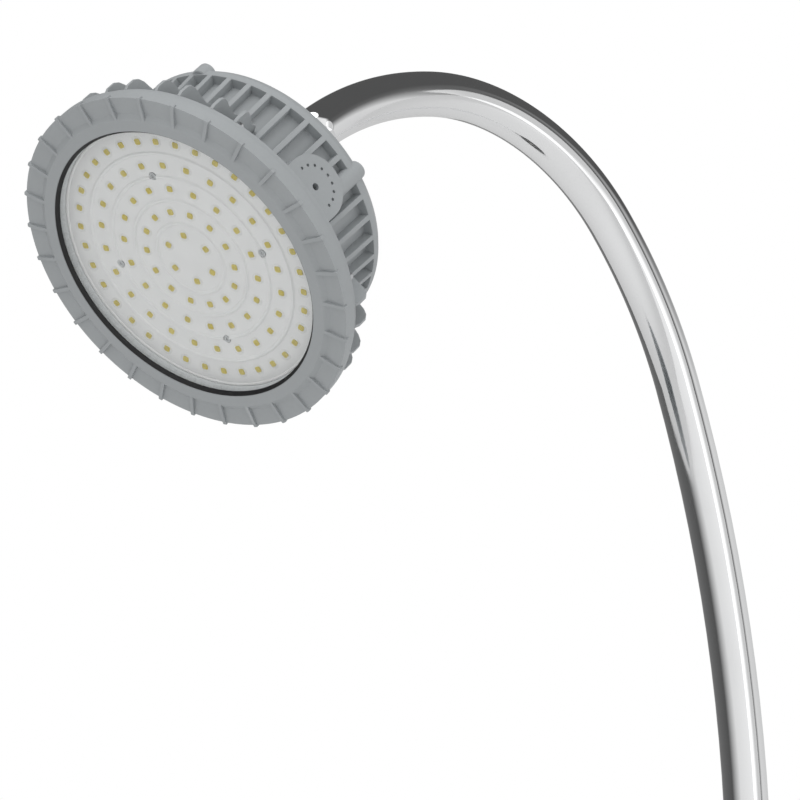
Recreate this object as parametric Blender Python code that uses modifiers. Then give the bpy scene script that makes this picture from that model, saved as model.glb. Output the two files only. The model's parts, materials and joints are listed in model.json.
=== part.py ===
"""Examination lamp: a round LED flood head on an arched tube with a weighted floor base.

Metres, +Z up.  The origin is the centre of the base's underside.  The arch lies in the XZ plane and the
head hangs on the -X side.  Head pieces are drawn in the head's own frame: +Z out through the lens,
+X up across the lens, and z = 0 on the bezel's front face.
"""
import math

import bmesh
import bpy
from mathutils import Matrix, Vector

GAP = 0.0003                 # left between two pieces that touch
RUNNING = 0.0003             # radial clearance of what turns or slides

# Lens opening and the stack behind it, front to back
OPENING_R = 0.1204
GLASS_LAP = 0.0069           # glass behind the bezel's lip
GLASS_T = 0.003
GASKET_T = 0.0012
GASKET_SHOW = 0.0022         # how far the gasket shows inside the opening
LIP_T = 0.0025
DOME_ROOM = 0.0064
PLATE_T = 0.0025
BOARD_T = 0.0016
SPACER_W = 0.0097
BOARD_SCREW_CIRCLE = 0.0744
BOARD_SCREW_START = -17.3    # degrees round the lens axis from +X

# Bezel
BEZEL_H = 0.0138
BEZEL_FLAT = 0.0086          # width of the flat band round the opening
RIB_BAND = 0.0200            # width of the ribbed recess outside it
BEZEL_SCREW_START = 0.0
RIB_COUNT = 30
RIB_START = -89.5
RIB_T = 0.0022
RIB_PROUD = 0.0014
RIB_SET_BACK = 0.0012        # rib tips behind the bezel's front face
RECESS_SLOPE = 0.0075        # width of the slope down into the recess
RECESS_DROP = 0.0016

# Finned housing
RIM_WALL = 0.005
FLOOR_T = 0.0053
FLANGE_SET_IN = 0.002        # flange smaller than the bezel
FLANGE_T = 0.007
DRUM_R = 0.108
DRUM_WALL = 0.007
FIN_COUNT = 40
FIN_T = 0.005
FIN_H = 0.0095               # at the ring; the fins fall away towards the flange
FIN_DRAFT = 0.0045
FIN_LENGTH = 0.0726
RING_H = 0.0137
RING_FLAT = 0.006
RING_TAPER = 0.0045
LUG_R = 0.0085
LUG_PROUD = 0.0045           # lug outside the fins
LUG_LENGTH = 0.041
LUG_ANGLES = (-21.0, -99.0, 159.0, 81.0)
PAD_W = 0.053
PAD_PROUD = 0.0035           # pad's face outside the fins
PAD_REACH = 0.0308           # from the flange's back to the pad's round centre
PAD_OFFSET = -0.0036         # pad's middle off the lens axis, along X
PAD_HOLE_R = 0.003

# Rear cover, driver and switch
COVER_SET_IN = 0.010         # cover smaller than the drum's wall
COVER_T = 0.0096             # cover's flange, set flush into the ring
COVER_RIM_W = 0.014          # flat rim round the cover's dome
COVER_DOME_H = 0.010
COVER_CHAMFER = 0.0095
COVER_DOME_WALL = 0.006
COVER_POCKET_H = 0.009
COVER_SCREW_R = 0.0025
SHELF_W = 0.012              # shelf that the cover is screwed to
SHELF_T = 0.007
REAR_GASKET_T = 0.001
REAR_GASKET_W = 0.0024
DRIVER_L = 0.120
DRIVER_W = 0.070
DRIVER_H = 0.040
DRIVER_EAR = 0.012
SWITCH_INSET = 0.0145        # switch's middle inside the dome's flat
SWITCH_R = 0.011
BUTTON_R = 0.007
BUTTON_TRAVEL = 0.0025

# Tilt knuckle
TILT = 48.2                  # the lens axis below the horizon
PIVOT_OFFSET = 0.010         # pivot above the lens axis
FORK_REACH = 0.0466          # fork's foot to the pivot
FORK_SCREW_OUT = 0.0061      # foot screws' middles outside the cheeks
FORK_FOOT_EDGE = 0.0055      # foot outside its screws' middles
FORK_FOOT_T = 0.0057
FORK_R = 0.016
CHEEK_T = 0.008
TONGUE_R = 0.014
TONGUE_W = 0.017
WASHER_T = 0.001
PIN_R = 0.005
COLLAR_START = 0.020
COLLAR_T = 0.004
SPIGOT_L = 0.016

# Arched tube: bends from the stem upwards as (turn in degrees, radius)
TUBE_R = 0.019
TUBE_WALL = 0.002
BENDS = ((18.8, 1.238), (21.1, 0.416), (65.8, 0.195), (27.4, 0.290))
BEND_STEP = 6.0              # degrees of bend between centreline points
TUBE_LEAD = 0.0405           # straight length from the last bend to the pivot
STRAIGHT_TOP = 0.971         # height at which the stem starts to bend

# Base
BASE_R = 0.199
MAT_T = 0.003
WEIGHT_T = 0.024
COVER_WALL = 0.0015
COVER_RISE = 0.004
BASE_CORNER = 0.0045         # inside radius of the cover's rolled edge
SOCKET_H = 0.120
SOCKET_WALL = 0.0062
SOCKET_FLANGE_W = 0.0185
SOCKET_FLANGE_T = 0.008
BUSH_T = 0.0012
BUSH_FLANGE_T = 0.003
THRUST_T = 0.003
THRUST_BORE_R = 0.008
WIRE_HOLE_R = 0.006
CLAMP_DROP = 0.040           # clamp screw below the socket's top
CLAMP_R = 0.004
GLAND_R = 0.008
GLAND_L = 0.025

SCREW_R = 0.002
SOCKET_SCREW_R = 0.003
SIDES = 40

# Heights in the head frame, front to back
gasketFront = -LIP_T - GAP
glassFront = gasketFront - GASKET_T - GAP
glassBack = glassFront - GLASS_T
plateFront = glassBack - DOME_ROOM
boardFront = plateFront - PLATE_T - GAP
boardBack = boardFront - BOARD_T
floorFront = boardBack - GAP
floorBack = floorFront - FLOOR_T
flangeFront = -BEZEL_H - GAP
flangeBack = flangeFront - FLANGE_T
ringFront = flangeBack - FIN_LENGTH
ringBack = ringFront - RING_H
coverFront = ringBack + COVER_T
shelfBack = coverFront + GAP + REAR_GASKET_T + GAP
shelfFront = shelfBack + SHELF_T
coverBack = ringBack - COVER_DOME_H
forkFront = coverBack - GAP
pivotDepth = forkFront - FORK_REACH

# Radii in the head frame
glassR = OPENING_R + GLASS_LAP
flatOut = OPENING_R + BEZEL_FLAT
bezelR = flatOut + RIB_BAND
flangeR = bezelR - FLANGE_SET_IN
finR = DRUM_R + FIN_H
padR = finR + PAD_PROUD
coverR = DRUM_R - COVER_SET_IN
domeR = coverR - COVER_RIM_W
pocketR = domeR - COVER_DOME_WALL
shelfR = coverR - SHELF_W
switchOffset = domeR - COVER_CHAMFER - SWITCH_INSET
rimInner = glassR + 0.0007
rimOuter = rimInner + RIM_WALL
spacerInner = rimInner - GAP - SPACER_W
plateR = spacerInner - GAP
boreR = DRUM_R - DRUM_WALL
ringR = finR + 0.0005
lugCentreR = finR + LUG_PROUD - LUG_R
coverScrewR = (shelfR + coverR) / 2
bezelScrewR = (rimOuter + GAP + bezelR) / 2

# Heights of the base
weightTop = MAT_T + GAP + WEIGHT_T
socketFoot = weightTop + GAP
socketTop = socketFoot + SOCKET_H
boreFloor = socketFoot + SOCKET_FLANGE_T + 0.006
tubeFoot = boreFloor + GAP + THRUST_T + GAP
clampZ = socketTop - CLAMP_DROP
bushR = TUBE_R + RUNNING
socketBore = bushR + BUSH_T + GAP
socketR = socketBore + SOCKET_WALL
socketFlangeR = socketR + SOCKET_FLANGE_W

# Half widths of the tilt knuckle and its screw circle
slotHalf = TONGUE_W / 2 + 2 * RUNNING + WASHER_T + GAP
cheekOut = slotHalf + CHEEK_T
forkScrewR = cheekOut + FORK_SCREW_OUT
forkFootR = forkScrewR + FORK_FOOT_EDGE


for item in list(bpy.data.objects):
    bpy.data.objects.remove(item, do_unlink=True)

lampCollection = bpy.data.collections.new("examination_lamp")
cutterCollection = bpy.data.collections.new("cutters")
for collection in (lampCollection, cutterCollection):
    bpy.context.scene.collection.children.link(collection)


def makeMaterial(name, colour, metallic, roughness, alpha=1.0):
    material = bpy.data.materials.new(name)
    material.use_nodes = True
    shader = material.node_tree.nodes["Principled BSDF"]
    shader.inputs["Base Color"].default_value = (*colour, 1.0)
    shader.inputs["Metallic"].default_value = metallic
    shader.inputs["Roughness"].default_value = roughness
    shader.inputs["Alpha"].default_value = alpha
    return material


materials = {
    "grey_paint": makeMaterial("grey_paint", (0.36, 0.38, 0.39), 0.1, 0.45),
    "chrome": makeMaterial("chrome", (0.80, 0.81, 0.82), 1.0, 0.08),
    "steel": makeMaterial("steel", (0.55, 0.56, 0.57), 1.0, 0.3),
    "black_rubber": makeMaterial("black_rubber", (0.02, 0.02, 0.02), 0.0, 0.8),
    "black_plastic": makeMaterial("black_plastic", (0.03, 0.03, 0.03), 0.0, 0.45),
    "nylon": makeMaterial("nylon", (0.75, 0.74, 0.70), 0.0, 0.5),
    "glass": makeMaterial("glass", (0.95, 0.97, 0.97), 0.0, 0.02, 0.25),
    "white_plate": makeMaterial("white_plate", (0.80, 0.80, 0.80), 0.0, 0.5),
    "board": makeMaterial("board", (0.75, 0.76, 0.77), 0.6, 0.4),
    "cast_iron": makeMaterial("cast_iron", (0.10, 0.10, 0.11), 0.6, 0.6),
}


def addEmpty(name, location, rotation=(0, 0, 0), parent=None):
    empty = bpy.data.objects.new(name, None)
    lampCollection.objects.link(empty)
    empty.parent = parent
    empty.location = location
    empty.rotation_euler = rotation
    return empty


def addPart(name, data, materialName, parent, location=(0, 0, 0), rotation=(0, 0, 0)):
    part = bpy.data.objects.new(name, data)
    data.materials.append(materials[materialName])
    lampCollection.objects.link(part)
    part.parent = parent
    part.location = location
    part.rotation_euler = rotation
    return part


def addCutter(name, data, parent, location=(0, 0, 0), rotation=(0, 0, 0)):
    cutter = bpy.data.objects.new(name, data)
    cutterCollection.objects.link(cutter)
    cutter.parent = parent
    cutter.location = location
    cutter.rotation_euler = rotation
    cutter.hide_render = True
    cutter.display_type = "WIRE"
    return cutter


def combine(part, cutter, operation):
    modifier = part.modifiers.new(cutter.name, "BOOLEAN")
    modifier.operation = operation
    modifier.solver = "EXACT"
    modifier.object = cutter


def cylinderMesh(name, radius, length, axis="Z", sides=24, centre=(0, 0, 0)):
    turn = {"X": Matrix.Rotation(math.pi / 2, 4, "Y"), "Y": Matrix.Rotation(-math.pi / 2, 4, "X"),
            "Z": Matrix.Identity(4)}[axis]
    work = bmesh.new()
    bmesh.ops.create_cone(work, cap_ends=True, segments=sides, radius1=radius, radius2=radius,
                          depth=length, matrix=Matrix.Translation(centre) @ turn)
    return finishMesh(name, work)


def boxMesh(name, low, high):
    size = [b - a for a, b in zip(low, high)]
    centre = [(a + b) / 2 for a, b in zip(low, high)]
    work = bmesh.new()
    bmesh.ops.create_cube(work, size=1.0, matrix=Matrix.Translation(centre) @ Matrix.Diagonal((*size, 1.0)))
    return finishMesh(name, work)


def finishMesh(name, work):
    mesh = bpy.data.meshes.new(name)
    work.to_mesh(mesh)
    work.free()
    return mesh


def outlineMesh(name, points, thickness):
    """A flat outline in the XZ plane, given as (x, z), centred on y = 0."""
    curve = bpy.data.curves.new(name, "CURVE")
    curve.dimensions = "2D"
    curve.fill_mode = "BOTH"
    curve.extrude = thickness / 2
    spline = curve.splines.new("POLY")
    spline.points.add(len(points) - 1)
    for point, (x, z) in zip(spline.points, points):
        point.co = (x, z, 0, 1)
    spline.use_cyclic_u = True
    holder = bpy.data.objects.new(name, curve)
    lampCollection.objects.link(holder)
    mesh = bpy.data.meshes.new_from_object(holder.evaluated_get(bpy.context.evaluated_depsgraph_get()))
    bpy.data.objects.remove(holder, do_unlink=True)
    work = bmesh.new()
    work.from_mesh(mesh)
    bmesh.ops.remove_doubles(work, verts=work.verts, dist=0.00001)
    bmesh.ops.transform(work, matrix=Matrix.Rotation(math.pi / 2, 4, "X"), verts=work.verts)
    bmesh.ops.recalc_face_normals(work, faces=work.faces)
    return finishMesh(name, work)


def ringPattern(name, mesh, angles):
    """Copies of one mesh turned about Z, joined as separate solids of one mesh."""
    work = bmesh.new()
    for angle in angles:
        copy = mesh.copy()
        copy.transform(Matrix.Rotation(math.radians(angle), 4, "Z"))
        work.from_mesh(copy)
        bpy.data.meshes.remove(copy)
    return finishMesh(name, work)


def profileMesh(name, points, closed):
    work = bmesh.new()
    corners = [work.verts.new((r, 0, z)) for r, z in points]
    for start, end in zip(corners, corners[1:]):
        work.edges.new((start, end))
    if closed:
        work.edges.new((corners[-1], corners[0]))
    return finishMesh(name, work)


def turned(name, points, materialName, parent, location=(0, 0, 0), closed=False, sides=SIDES):
    """A turned piece; the profile runs down its outer side, as a closed ring or from axis to axis."""
    part = addPart(name, profileMesh(name, points, closed), materialName, parent, location)
    modifier = part.modifiers.new("turn", "SCREW")
    modifier.axis = "Z"
    modifier.angle = 2 * math.pi
    modifier.steps = sides
    modifier.render_steps = sides
    modifier.use_merge_vertices = True
    modifier.merge_threshold = 0.00005
    return part


def disc(name, radius, top, bottom, materialName, parent, location=(0, 0, 0), sides=SIDES):
    points = [(0, top), (radius, top), (radius, bottom), (0, bottom)]
    return turned(name, points, materialName, parent, location, sides=sides)


def ring(name, inner, outer, top, bottom, materialName, parent, location=(0, 0, 0), sides=SIDES):
    points = [(inner, top), (outer, top), (outer, bottom), (inner, bottom)]
    return turned(name, points, materialName, parent, location, closed=True, sides=sides)


def cornerArc(centreR, centreZ, radius, steps=2):
    """Points of an outside corner, from the top down to the side."""
    angles = [math.pi / 2 * (1 - step / steps) for step in range(steps + 1)]
    return [(centreR + radius * math.cos(a), centreZ + radius * math.sin(a)) for a in angles]


def quarterAngles(first):
    return [first + 90 * step for step in range(4)]


def around(radius, angle):
    return radius * math.cos(math.radians(angle)), radius * math.sin(math.radians(angle))


def holes(part, name, radius, top, bottom, places, parent, sides=12):
    """Round holes along the part's own Z, cut with one joined cutter."""
    work = bmesh.new()
    for x, y in places:
        bmesh.ops.create_cone(work, cap_ends=True, segments=sides, radius1=radius, radius2=radius,
                              depth=top - bottom, matrix=Matrix.Translation((x, y, (top + bottom) / 2)))
    combine(part, addCutter(name, finishMesh(name, work), parent), "DIFFERENCE")


def screw(name, headBase, headSign, shankLength, radius, parent, place):
    """A cap screw on the head's Z: the head stands off headBase on the side headSign."""
    headR = radius * 1.9
    headH = radius * 1.6
    x, y = place
    if headSign > 0:
        points = [(0, headBase + headH), (headR, headBase + headH), (headR, headBase),
                  (radius, headBase), (radius, headBase - shankLength), (0, headBase - shankLength)]
    else:
        points = [(0, headBase + shankLength), (radius, headBase + shankLength), (radius, headBase),
                  (headR, headBase), (headR, headBase - headH), (0, headBase - headH)]
    return turned(name, points, "steel", parent, (x, y, 0), sides=12)


def knobMesh(name, centreR, lobeR, lobes, length, axis, centre):
    """A star knob, one solid: a core with round lobes merged into it."""
    core = cylinderMesh(name, centreR, length, axis, 20, centre)
    spread = {"X": lambda a: (0, math.cos(a), math.sin(a)), "Y": lambda a: (math.cos(a), 0, math.sin(a))}[axis]
    work = bmesh.new()
    turn = {"X": Matrix.Rotation(math.pi / 2, 4, "Y"), "Y": Matrix.Rotation(math.pi / 2, 4, "X")}[axis]
    for index in range(lobes):
        offset = Vector(spread(2 * math.pi * index / lobes)) * centreR
        place = Matrix.Translation(Vector(centre) + offset) @ turn
        bmesh.ops.create_cone(work, cap_ends=True, segments=12, radius1=lobeR, radius2=lobeR,
                              depth=length * 0.8, matrix=place)
    return core, finishMesh(name + "_lobes", work)


# ---- the arch's centreline, from the stem's foot to the pivot ----
def archPoints(first):
    """Centreline points in the XZ plane and the direction at the pivot end."""
    points = [Vector((0, 0, first)), Vector((0, 0, STRAIGHT_TOP))]
    position = points[-1].copy()
    heading = math.pi / 2
    for turn, radius in BENDS:
        steps = max(4, round(turn / BEND_STEP))
        for _ in range(steps):
            half = math.radians(turn) / steps / 2
            chord = 2 * radius * math.sin(half)
            heading += half
            position = position + chord * Vector((math.cos(heading), 0, math.sin(heading)))
            heading += half
            points.append(position.copy())
    along = Vector((math.cos(heading), 0, math.sin(heading)))
    return points, along, position + along * TUBE_LEAD


archRoute, archEnd, pivot = archPoints(tubeFoot)

baseRoot = addEmpty("base_root", (0, 0, 0))
stemAxis = addEmpty("stem_swivel_axis", (0, 0, tubeFoot), parent=baseRoot)
# the fitting's +X runs from the pivot back into the tube
intoTube = -archEnd
knuckle = addEmpty("arch_end", pivot - Vector((0, 0, tubeFoot)),
                   (0, -math.atan2(intoTube.z, intoTube.x), 0), stemAxis)
tiltAxis = addEmpty("head_tilt_axis", pivot - Vector((0, 0, tubeFoot)),
                    (0, -math.radians(90 + TILT), 0), stemAxis)
head = addEmpty("head_frame", (-PIVOT_OFFSET, 0, -pivotDepth), parent=tiltAxis)


def buildBase():
    disc("base_mat", BASE_R - 0.001, MAT_T, 0, "black_rubber", baseRoot)
    weightR = BASE_R - COVER_WALL - 0.0005
    weight = turned("base_weight", [(0, weightTop), (weightR - BASE_CORNER, weightTop),
                                    (weightR, weightTop - BASE_CORNER), (weightR, MAT_T + GAP),
                                    (0, MAT_T + GAP)], "cast_iron", baseRoot)
    groove = boxMesh("wire_groove", (-0.012, -GLAND_R - 0.002, MAT_T - 0.001),
                     (BASE_R + 0.01, GLAND_R + 0.002, weightTop - 0.004))
    combine(weight, addCutter("wire_groove", groove, baseRoot), "DIFFERENCE")
    screwPlaces = [around((socketR + socketFlangeR) / 2, angle) for angle in (60, 180, 300)]
    holes(weight, "socket_tappings", SOCKET_SCREW_R + GAP, weightTop + 0.001, weightTop - 0.014, screwPlaces,
          baseRoot)

    top = weightTop + GAP + COVER_WALL
    inner = socketFlangeR + 0.0005
    rise = COVER_RISE
    corner = BASE_CORNER + COVER_WALL
    outside = cornerArc(BASE_R - corner, top - corner, corner)
    inside = cornerArc(BASE_R - corner, top - corner, BASE_CORNER)
    turned("base_cover", [(inner, top + rise), (BASE_R / 2, top + rise * 0.75), *outside,
                          (BASE_R, MAT_T + GAP), (BASE_R - COVER_WALL, MAT_T + GAP), *reversed(inside),
                          (BASE_R / 2, top + rise * 0.75 - COVER_WALL), (inner, top + rise - COVER_WALL)],
           "chrome", baseRoot, closed=True)
    glandZ = MAT_T + GAP + GLAND_R + 0.002
    cover = bpy.data.objects["base_cover"]
    glandHole = cylinderMesh("gland_hole", GLAND_R + GAP, 0.03, "X", 20, (BASE_R, 0, glandZ))
    combine(cover, addCutter("gland_hole", glandHole, baseRoot), "DIFFERENCE")

    socket = turned("stem_socket", [(0, boreFloor), (socketBore, boreFloor), (socketBore, socketTop),
                                    (socketR, socketTop), (socketR, socketFoot + SOCKET_FLANGE_T),
                                    (socketFlangeR, socketFoot + SOCKET_FLANGE_T),
                                    (socketFlangeR, socketFoot), (0, socketFoot)], "chrome", baseRoot)
    holes(socket, "socket_screw_holes", SOCKET_SCREW_R + GAP, socketFoot + 0.02, socketFoot - 0.01, screwPlaces,
          baseRoot)
    holes(socket, "socket_wire_hole", WIRE_HOLE_R, boreFloor + 0.001, socketFoot - 0.001, [(0, 0)], baseRoot)
    clampHole = cylinderMesh("clamp_hole", CLAMP_R + RUNNING, 0.03, "X", 12, (socketR, 0, clampZ))
    combine(socket, addCutter("clamp_hole", clampHole, baseRoot), "DIFFERENCE")
    holes(weight, "weight_wire_hole", WIRE_HOLE_R, weightTop + 0.001, weightTop - 0.01, [(0, 0)], baseRoot)

    for index, place in enumerate(screwPlaces):
        screw(f"socket_screw_{index + 1}", socketFoot + SOCKET_FLANGE_T + GAP, 1, 0.020, SOCKET_SCREW_R,
              baseRoot, place)

    ring("thrust_washer", THRUST_BORE_R, socketBore - GAP, boreFloor + GAP + THRUST_T, boreFloor + GAP, "nylon",
         baseRoot, sides=20)
    bushTop = socketTop + GAP + BUSH_FLANGE_T
    bush = turned("swivel_bush", [(bushR, bushTop), (socketR - 0.001, bushTop),
                                  (socketR - 0.001, socketTop + GAP), (bushR + BUSH_T, socketTop + GAP),
                                  (bushR + BUSH_T, tubeFoot),
                                  (bushR, tubeFoot)], "nylon", baseRoot, closed=True)
    bushHole = cylinderMesh("bush_hole", CLAMP_R + RUNNING, 0.03, "X", 12, (socketR, 0, clampZ))
    combine(bush, addCutter("bush_hole", bushHole, baseRoot), "DIFFERENCE")

    glandMiddle = BASE_R - COVER_WALL - 0.0015 + GLAND_L / 2
    gland = cylinderMesh("inlet_gland", GLAND_R, GLAND_L, "X", 20, (glandMiddle, 0, glandZ))
    glandPart = addPart("inlet_gland", gland, "black_plastic", baseRoot)
    glandBore = cylinderMesh("gland_bore", 0.0045, 0.05, "X", 12, (glandMiddle, 0, glandZ))
    combine(glandPart, addCutter("gland_bore", glandBore, baseRoot), "DIFFERENCE")
    nut = cylinderMesh("gland_nut", GLAND_R + 0.0028, 0.006, "X", 6, (BASE_R + GAP + 0.003, 0, glandZ))
    nutPart = addPart("gland_nut", nut, "black_plastic", baseRoot)
    nutBore = cylinderMesh("nut_bore", GLAND_R + GAP, 0.02, "X", 20, (BASE_R + GAP + 0.003, 0, glandZ))
    combine(nutPart, addCutter("nut_bore", nutBore, baseRoot), "DIFFERENCE")


def buildClampKnob():
    axis = addEmpty("clamp_knob_axis", (0, 0, clampZ), parent=baseRoot)
    start = socketR + 0.004
    length = 0.022
    core, lobes = knobMesh("clamp_knob", 0.011, 0.0055, 5, length, "X", (start + length / 2, 0, 0))
    knob = addPart("clamp_knob", core, "black_plastic", axis)
    combine(knob, addCutter("clamp_knob_lobes", lobes, axis), "UNION")
    stemLength = start + 0.002 - (TUBE_R + 0.0004)
    stem = cylinderMesh("clamp_stem", CLAMP_R, stemLength, "X", 12, (TUBE_R + 0.0004 + stemLength / 2, 0, 0))
    combine(knob, addCutter("clamp_stem", stem, axis), "UNION")


def buildArch():
    curve = bpy.data.curves.new("arched_tube", "CURVE")
    curve.dimensions = "3D"
    curve.bevel_depth = TUBE_R
    curve.bevel_resolution = 6
    curve.use_fill_caps = False
    route = archRoute + [pivot - archEnd * (COLLAR_START + COLLAR_T + GAP)]
    spline = curve.splines.new("POLY")
    spline.points.add(len(route) - 1)
    for point, place in zip(spline.points, route):
        point.co = (place.x, place.y, place.z - tubeFoot, 1)
    tube = addPart("arched_tube", curve, "chrome", stemAxis)
    wall = tube.modifiers.new("wall", "SOLIDIFY")
    wall.thickness = TUBE_WALL
    wall.offset = -1
    wall.use_even_offset = True

    halfW = TONGUE_W / 2
    tongue = addPart("tilt_tongue", cylinderMesh("tilt_tongue", TONGUE_R, TONGUE_W, "Y", 24), "chrome", knuckle)
    blade = boxMesh("tongue_blade", (0, -halfW, -TONGUE_R), (COLLAR_START + 0.001, halfW, TONGUE_R))
    combine(tongue, addCutter("tongue_blade", blade, knuckle), "UNION")
    collar = cylinderMesh("tongue_collar", TUBE_R, COLLAR_T, "X", 24, (COLLAR_START + COLLAR_T / 2, 0, 0))
    combine(tongue, addCutter("tongue_collar", collar, knuckle), "UNION")
    spigotStart = COLLAR_START + COLLAR_T - 0.001
    spigot = cylinderMesh("tongue_spigot", TUBE_R - TUBE_WALL - 0.0006, SPIGOT_L + 0.001, "X", 24,
                          (spigotStart + (SPIGOT_L + 0.001) / 2, 0, 0))
    combine(tongue, addCutter("tongue_spigot", spigot, knuckle), "UNION")
    pinHole = cylinderMesh("tongue_pin_hole", PIN_R + RUNNING, 0.1, "Y", 16)
    combine(tongue, addCutter("tongue_pin_hole", pinHole, knuckle), "DIFFERENCE")


def buildKnuckle():
    foot = addPart("pivot_fork", cylinderMesh("pivot_fork", forkFootR, FORK_FOOT_T, "Z", 24,
                                              (0, 0, FORK_REACH - FORK_FOOT_T / 2)), "grey_paint", tiltAxis)
    body = boxMesh("fork_body", (-FORK_R, -cheekOut, 0), (FORK_R, cheekOut, FORK_REACH - FORK_FOOT_T + 0.001))
    combine(foot, addCutter("fork_body", body, tiltAxis), "UNION")
    eye = cylinderMesh("fork_eye", FORK_R, 2 * cheekOut, "Y", 24)
    combine(foot, addCutter("fork_eye", eye, tiltAxis), "UNION")
    slot = boxMesh("fork_slot", (-0.05, -slotHalf, -0.05), (0.05, slotHalf, FORK_REACH - FORK_FOOT_T - 0.008))
    combine(foot, addCutter("fork_slot", slot, tiltAxis), "DIFFERENCE")
    pinHole = cylinderMesh("fork_pin_hole", PIN_R + RUNNING, 0.1, "Y", 16)
    combine(foot, addCutter("fork_pin_hole", pinHole, tiltAxis), "DIFFERENCE")
    footScrews = [around(forkScrewR, angle) for angle in quarterAngles(0)]
    holes(foot, "fork_screw_holes", SCREW_R + GAP, FORK_REACH + 0.002, FORK_REACH - FORK_FOOT_T - 0.002,
          footScrews, tiltAxis)
    for index, place in enumerate(footScrews):
        screw(f"fork_screw_{index + 1}", FORK_REACH - FORK_FOOT_T - GAP, -1, 0.012, SCREW_R, tiltAxis, place)

    for name, side in (("friction_washer_near", -1), ("friction_washer_far", 1)):
        centre = (0, side * (slotHalf - GAP - WASHER_T / 2), 0)
        disk = cylinderMesh(name, TONGUE_R - 0.001, WASHER_T, "Y", 20, centre)
        washer = addPart(name, disk, "nylon", tiltAxis)
        bore = cylinderMesh(name + "_bore", PIN_R + RUNNING, 0.01, "Y", 16, centre)
        combine(washer, addCutter(name + "_bore", bore, tiltAxis), "DIFFERENCE")

    headT = 0.005
    tail = cheekOut + 0.012
    bolt = addPart("pivot_bolt", cylinderMesh("pivot_bolt", PIN_R, cheekOut + tail, "Y", 16,
                                              (0, (tail - cheekOut) / 2, 0)), "steel", tiltAxis)
    boltHead = cylinderMesh("bolt_head", 0.009, headT, "Y", 16, (0, -cheekOut - GAP - headT / 2, 0))
    combine(bolt, addCutter("bolt_head", boltHead, tiltAxis), "UNION")
    neck = cylinderMesh("bolt_neck", PIN_R, 2 * GAP + 0.002, "Y", 16, (0, -cheekOut, 0))
    combine(bolt, addCutter("bolt_neck", neck, tiltAxis), "UNION")

    length = 0.020
    core, lobes = knobMesh("tilt_knob", 0.012, 0.0055, 5, length, "Y", (0, cheekOut + GAP + length / 2, 0))
    knob = addPart("tilt_knob", core, "black_plastic", tiltAxis)
    combine(knob, addCutter("tilt_knob_lobes", lobes, tiltAxis), "UNION")
    knobBore = cylinderMesh("tilt_knob_bore", PIN_R + RUNNING, 2 * (tail - cheekOut + 0.001), "Y", 16,
                            (0, cheekOut, 0))
    combine(knob, addCutter("tilt_knob_bore", knobBore, tiltAxis), "DIFFERENCE")


def buildBezel():
    under = gasketFront - 0.0019
    bezel = turned("bezel_ring", [(OPENING_R, 0), (flatOut, 0), (flatOut + RECESS_SLOPE, -RECESS_DROP),
                                  (bezelR, -RECESS_DROP), (bezelR, -BEZEL_H), (rimOuter + GAP, -BEZEL_H),
                                  (rimOuter + GAP, under), (rimInner - GAP, under), (rimInner - GAP, -LIP_T),
                                  (OPENING_R, -LIP_T)], "grey_paint", head, closed=True)
    rib = outlineMesh("bezel_rib", [(flatOut - 0.0005, -0.0002), (bezelR + RIB_PROUD, -RIB_SET_BACK),
                                    (bezelR + RIB_PROUD, -RECESS_DROP - 0.003),
                                    (bezelR - 0.001, -RECESS_DROP - 0.005),
                                    (flatOut + 0.001, -0.003)], RIB_T)
    angles = [RIB_START + 360 / RIB_COUNT * step for step in range(RIB_COUNT)]
    combine(bezel, addCutter("bezel_ribs", ringPattern("bezel_ribs", rib, angles), head), "UNION")
    places = [around(bezelScrewR, BEZEL_SCREW_START + 60 * step) for step in range(6)]
    holes(bezel, "bezel_tappings", SCREW_R + GAP, -BEZEL_H + 0.008, -BEZEL_H - 0.001, places, head)
    return places


def buildOptics():
    ring("lens_gasket", OPENING_R - GASKET_SHOW, glassR, gasketFront, gasketFront - GASKET_T,
         "black_rubber", head)
    disc("front_glass", glassR, glassFront, glassBack, "glass", head)
    ring("spacer_ring", spacerInner, rimInner - GAP, glassBack - GAP, boardBack, "grey_paint", head)
    plate = disc("optic_plate", plateR, plateFront, plateFront - PLATE_T, "white_plate", head)
    board = disc("led_board", plateR, boardFront, boardBack, "board", head)
    places = [around(BOARD_SCREW_CIRCLE, angle) for angle in quarterAngles(BOARD_SCREW_START)]
    holes(plate, "plate_holes", SCREW_R + GAP, plateFront + 0.01, plateFront - 0.01, places, head)
    holes(board, "board_holes", SCREW_R + GAP, boardFront + 0.01, boardFront - 0.01, places, head)
    for index, (x, y) in enumerate(places):
        points = [(0, plateFront + GAP + 0.0015), (SCREW_R * 1.6, plateFront + GAP + 0.0015),
                  (SCREW_R * 1.6, plateFront + GAP), (SCREW_R, plateFront + GAP),
                  (SCREW_R, floorBack + 0.0015), (0, floorBack + 0.0015)]
        turned(f"board_screw_{index + 1}", points, "steel", head, (x, y, 0), sides=12)
    return places


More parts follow.
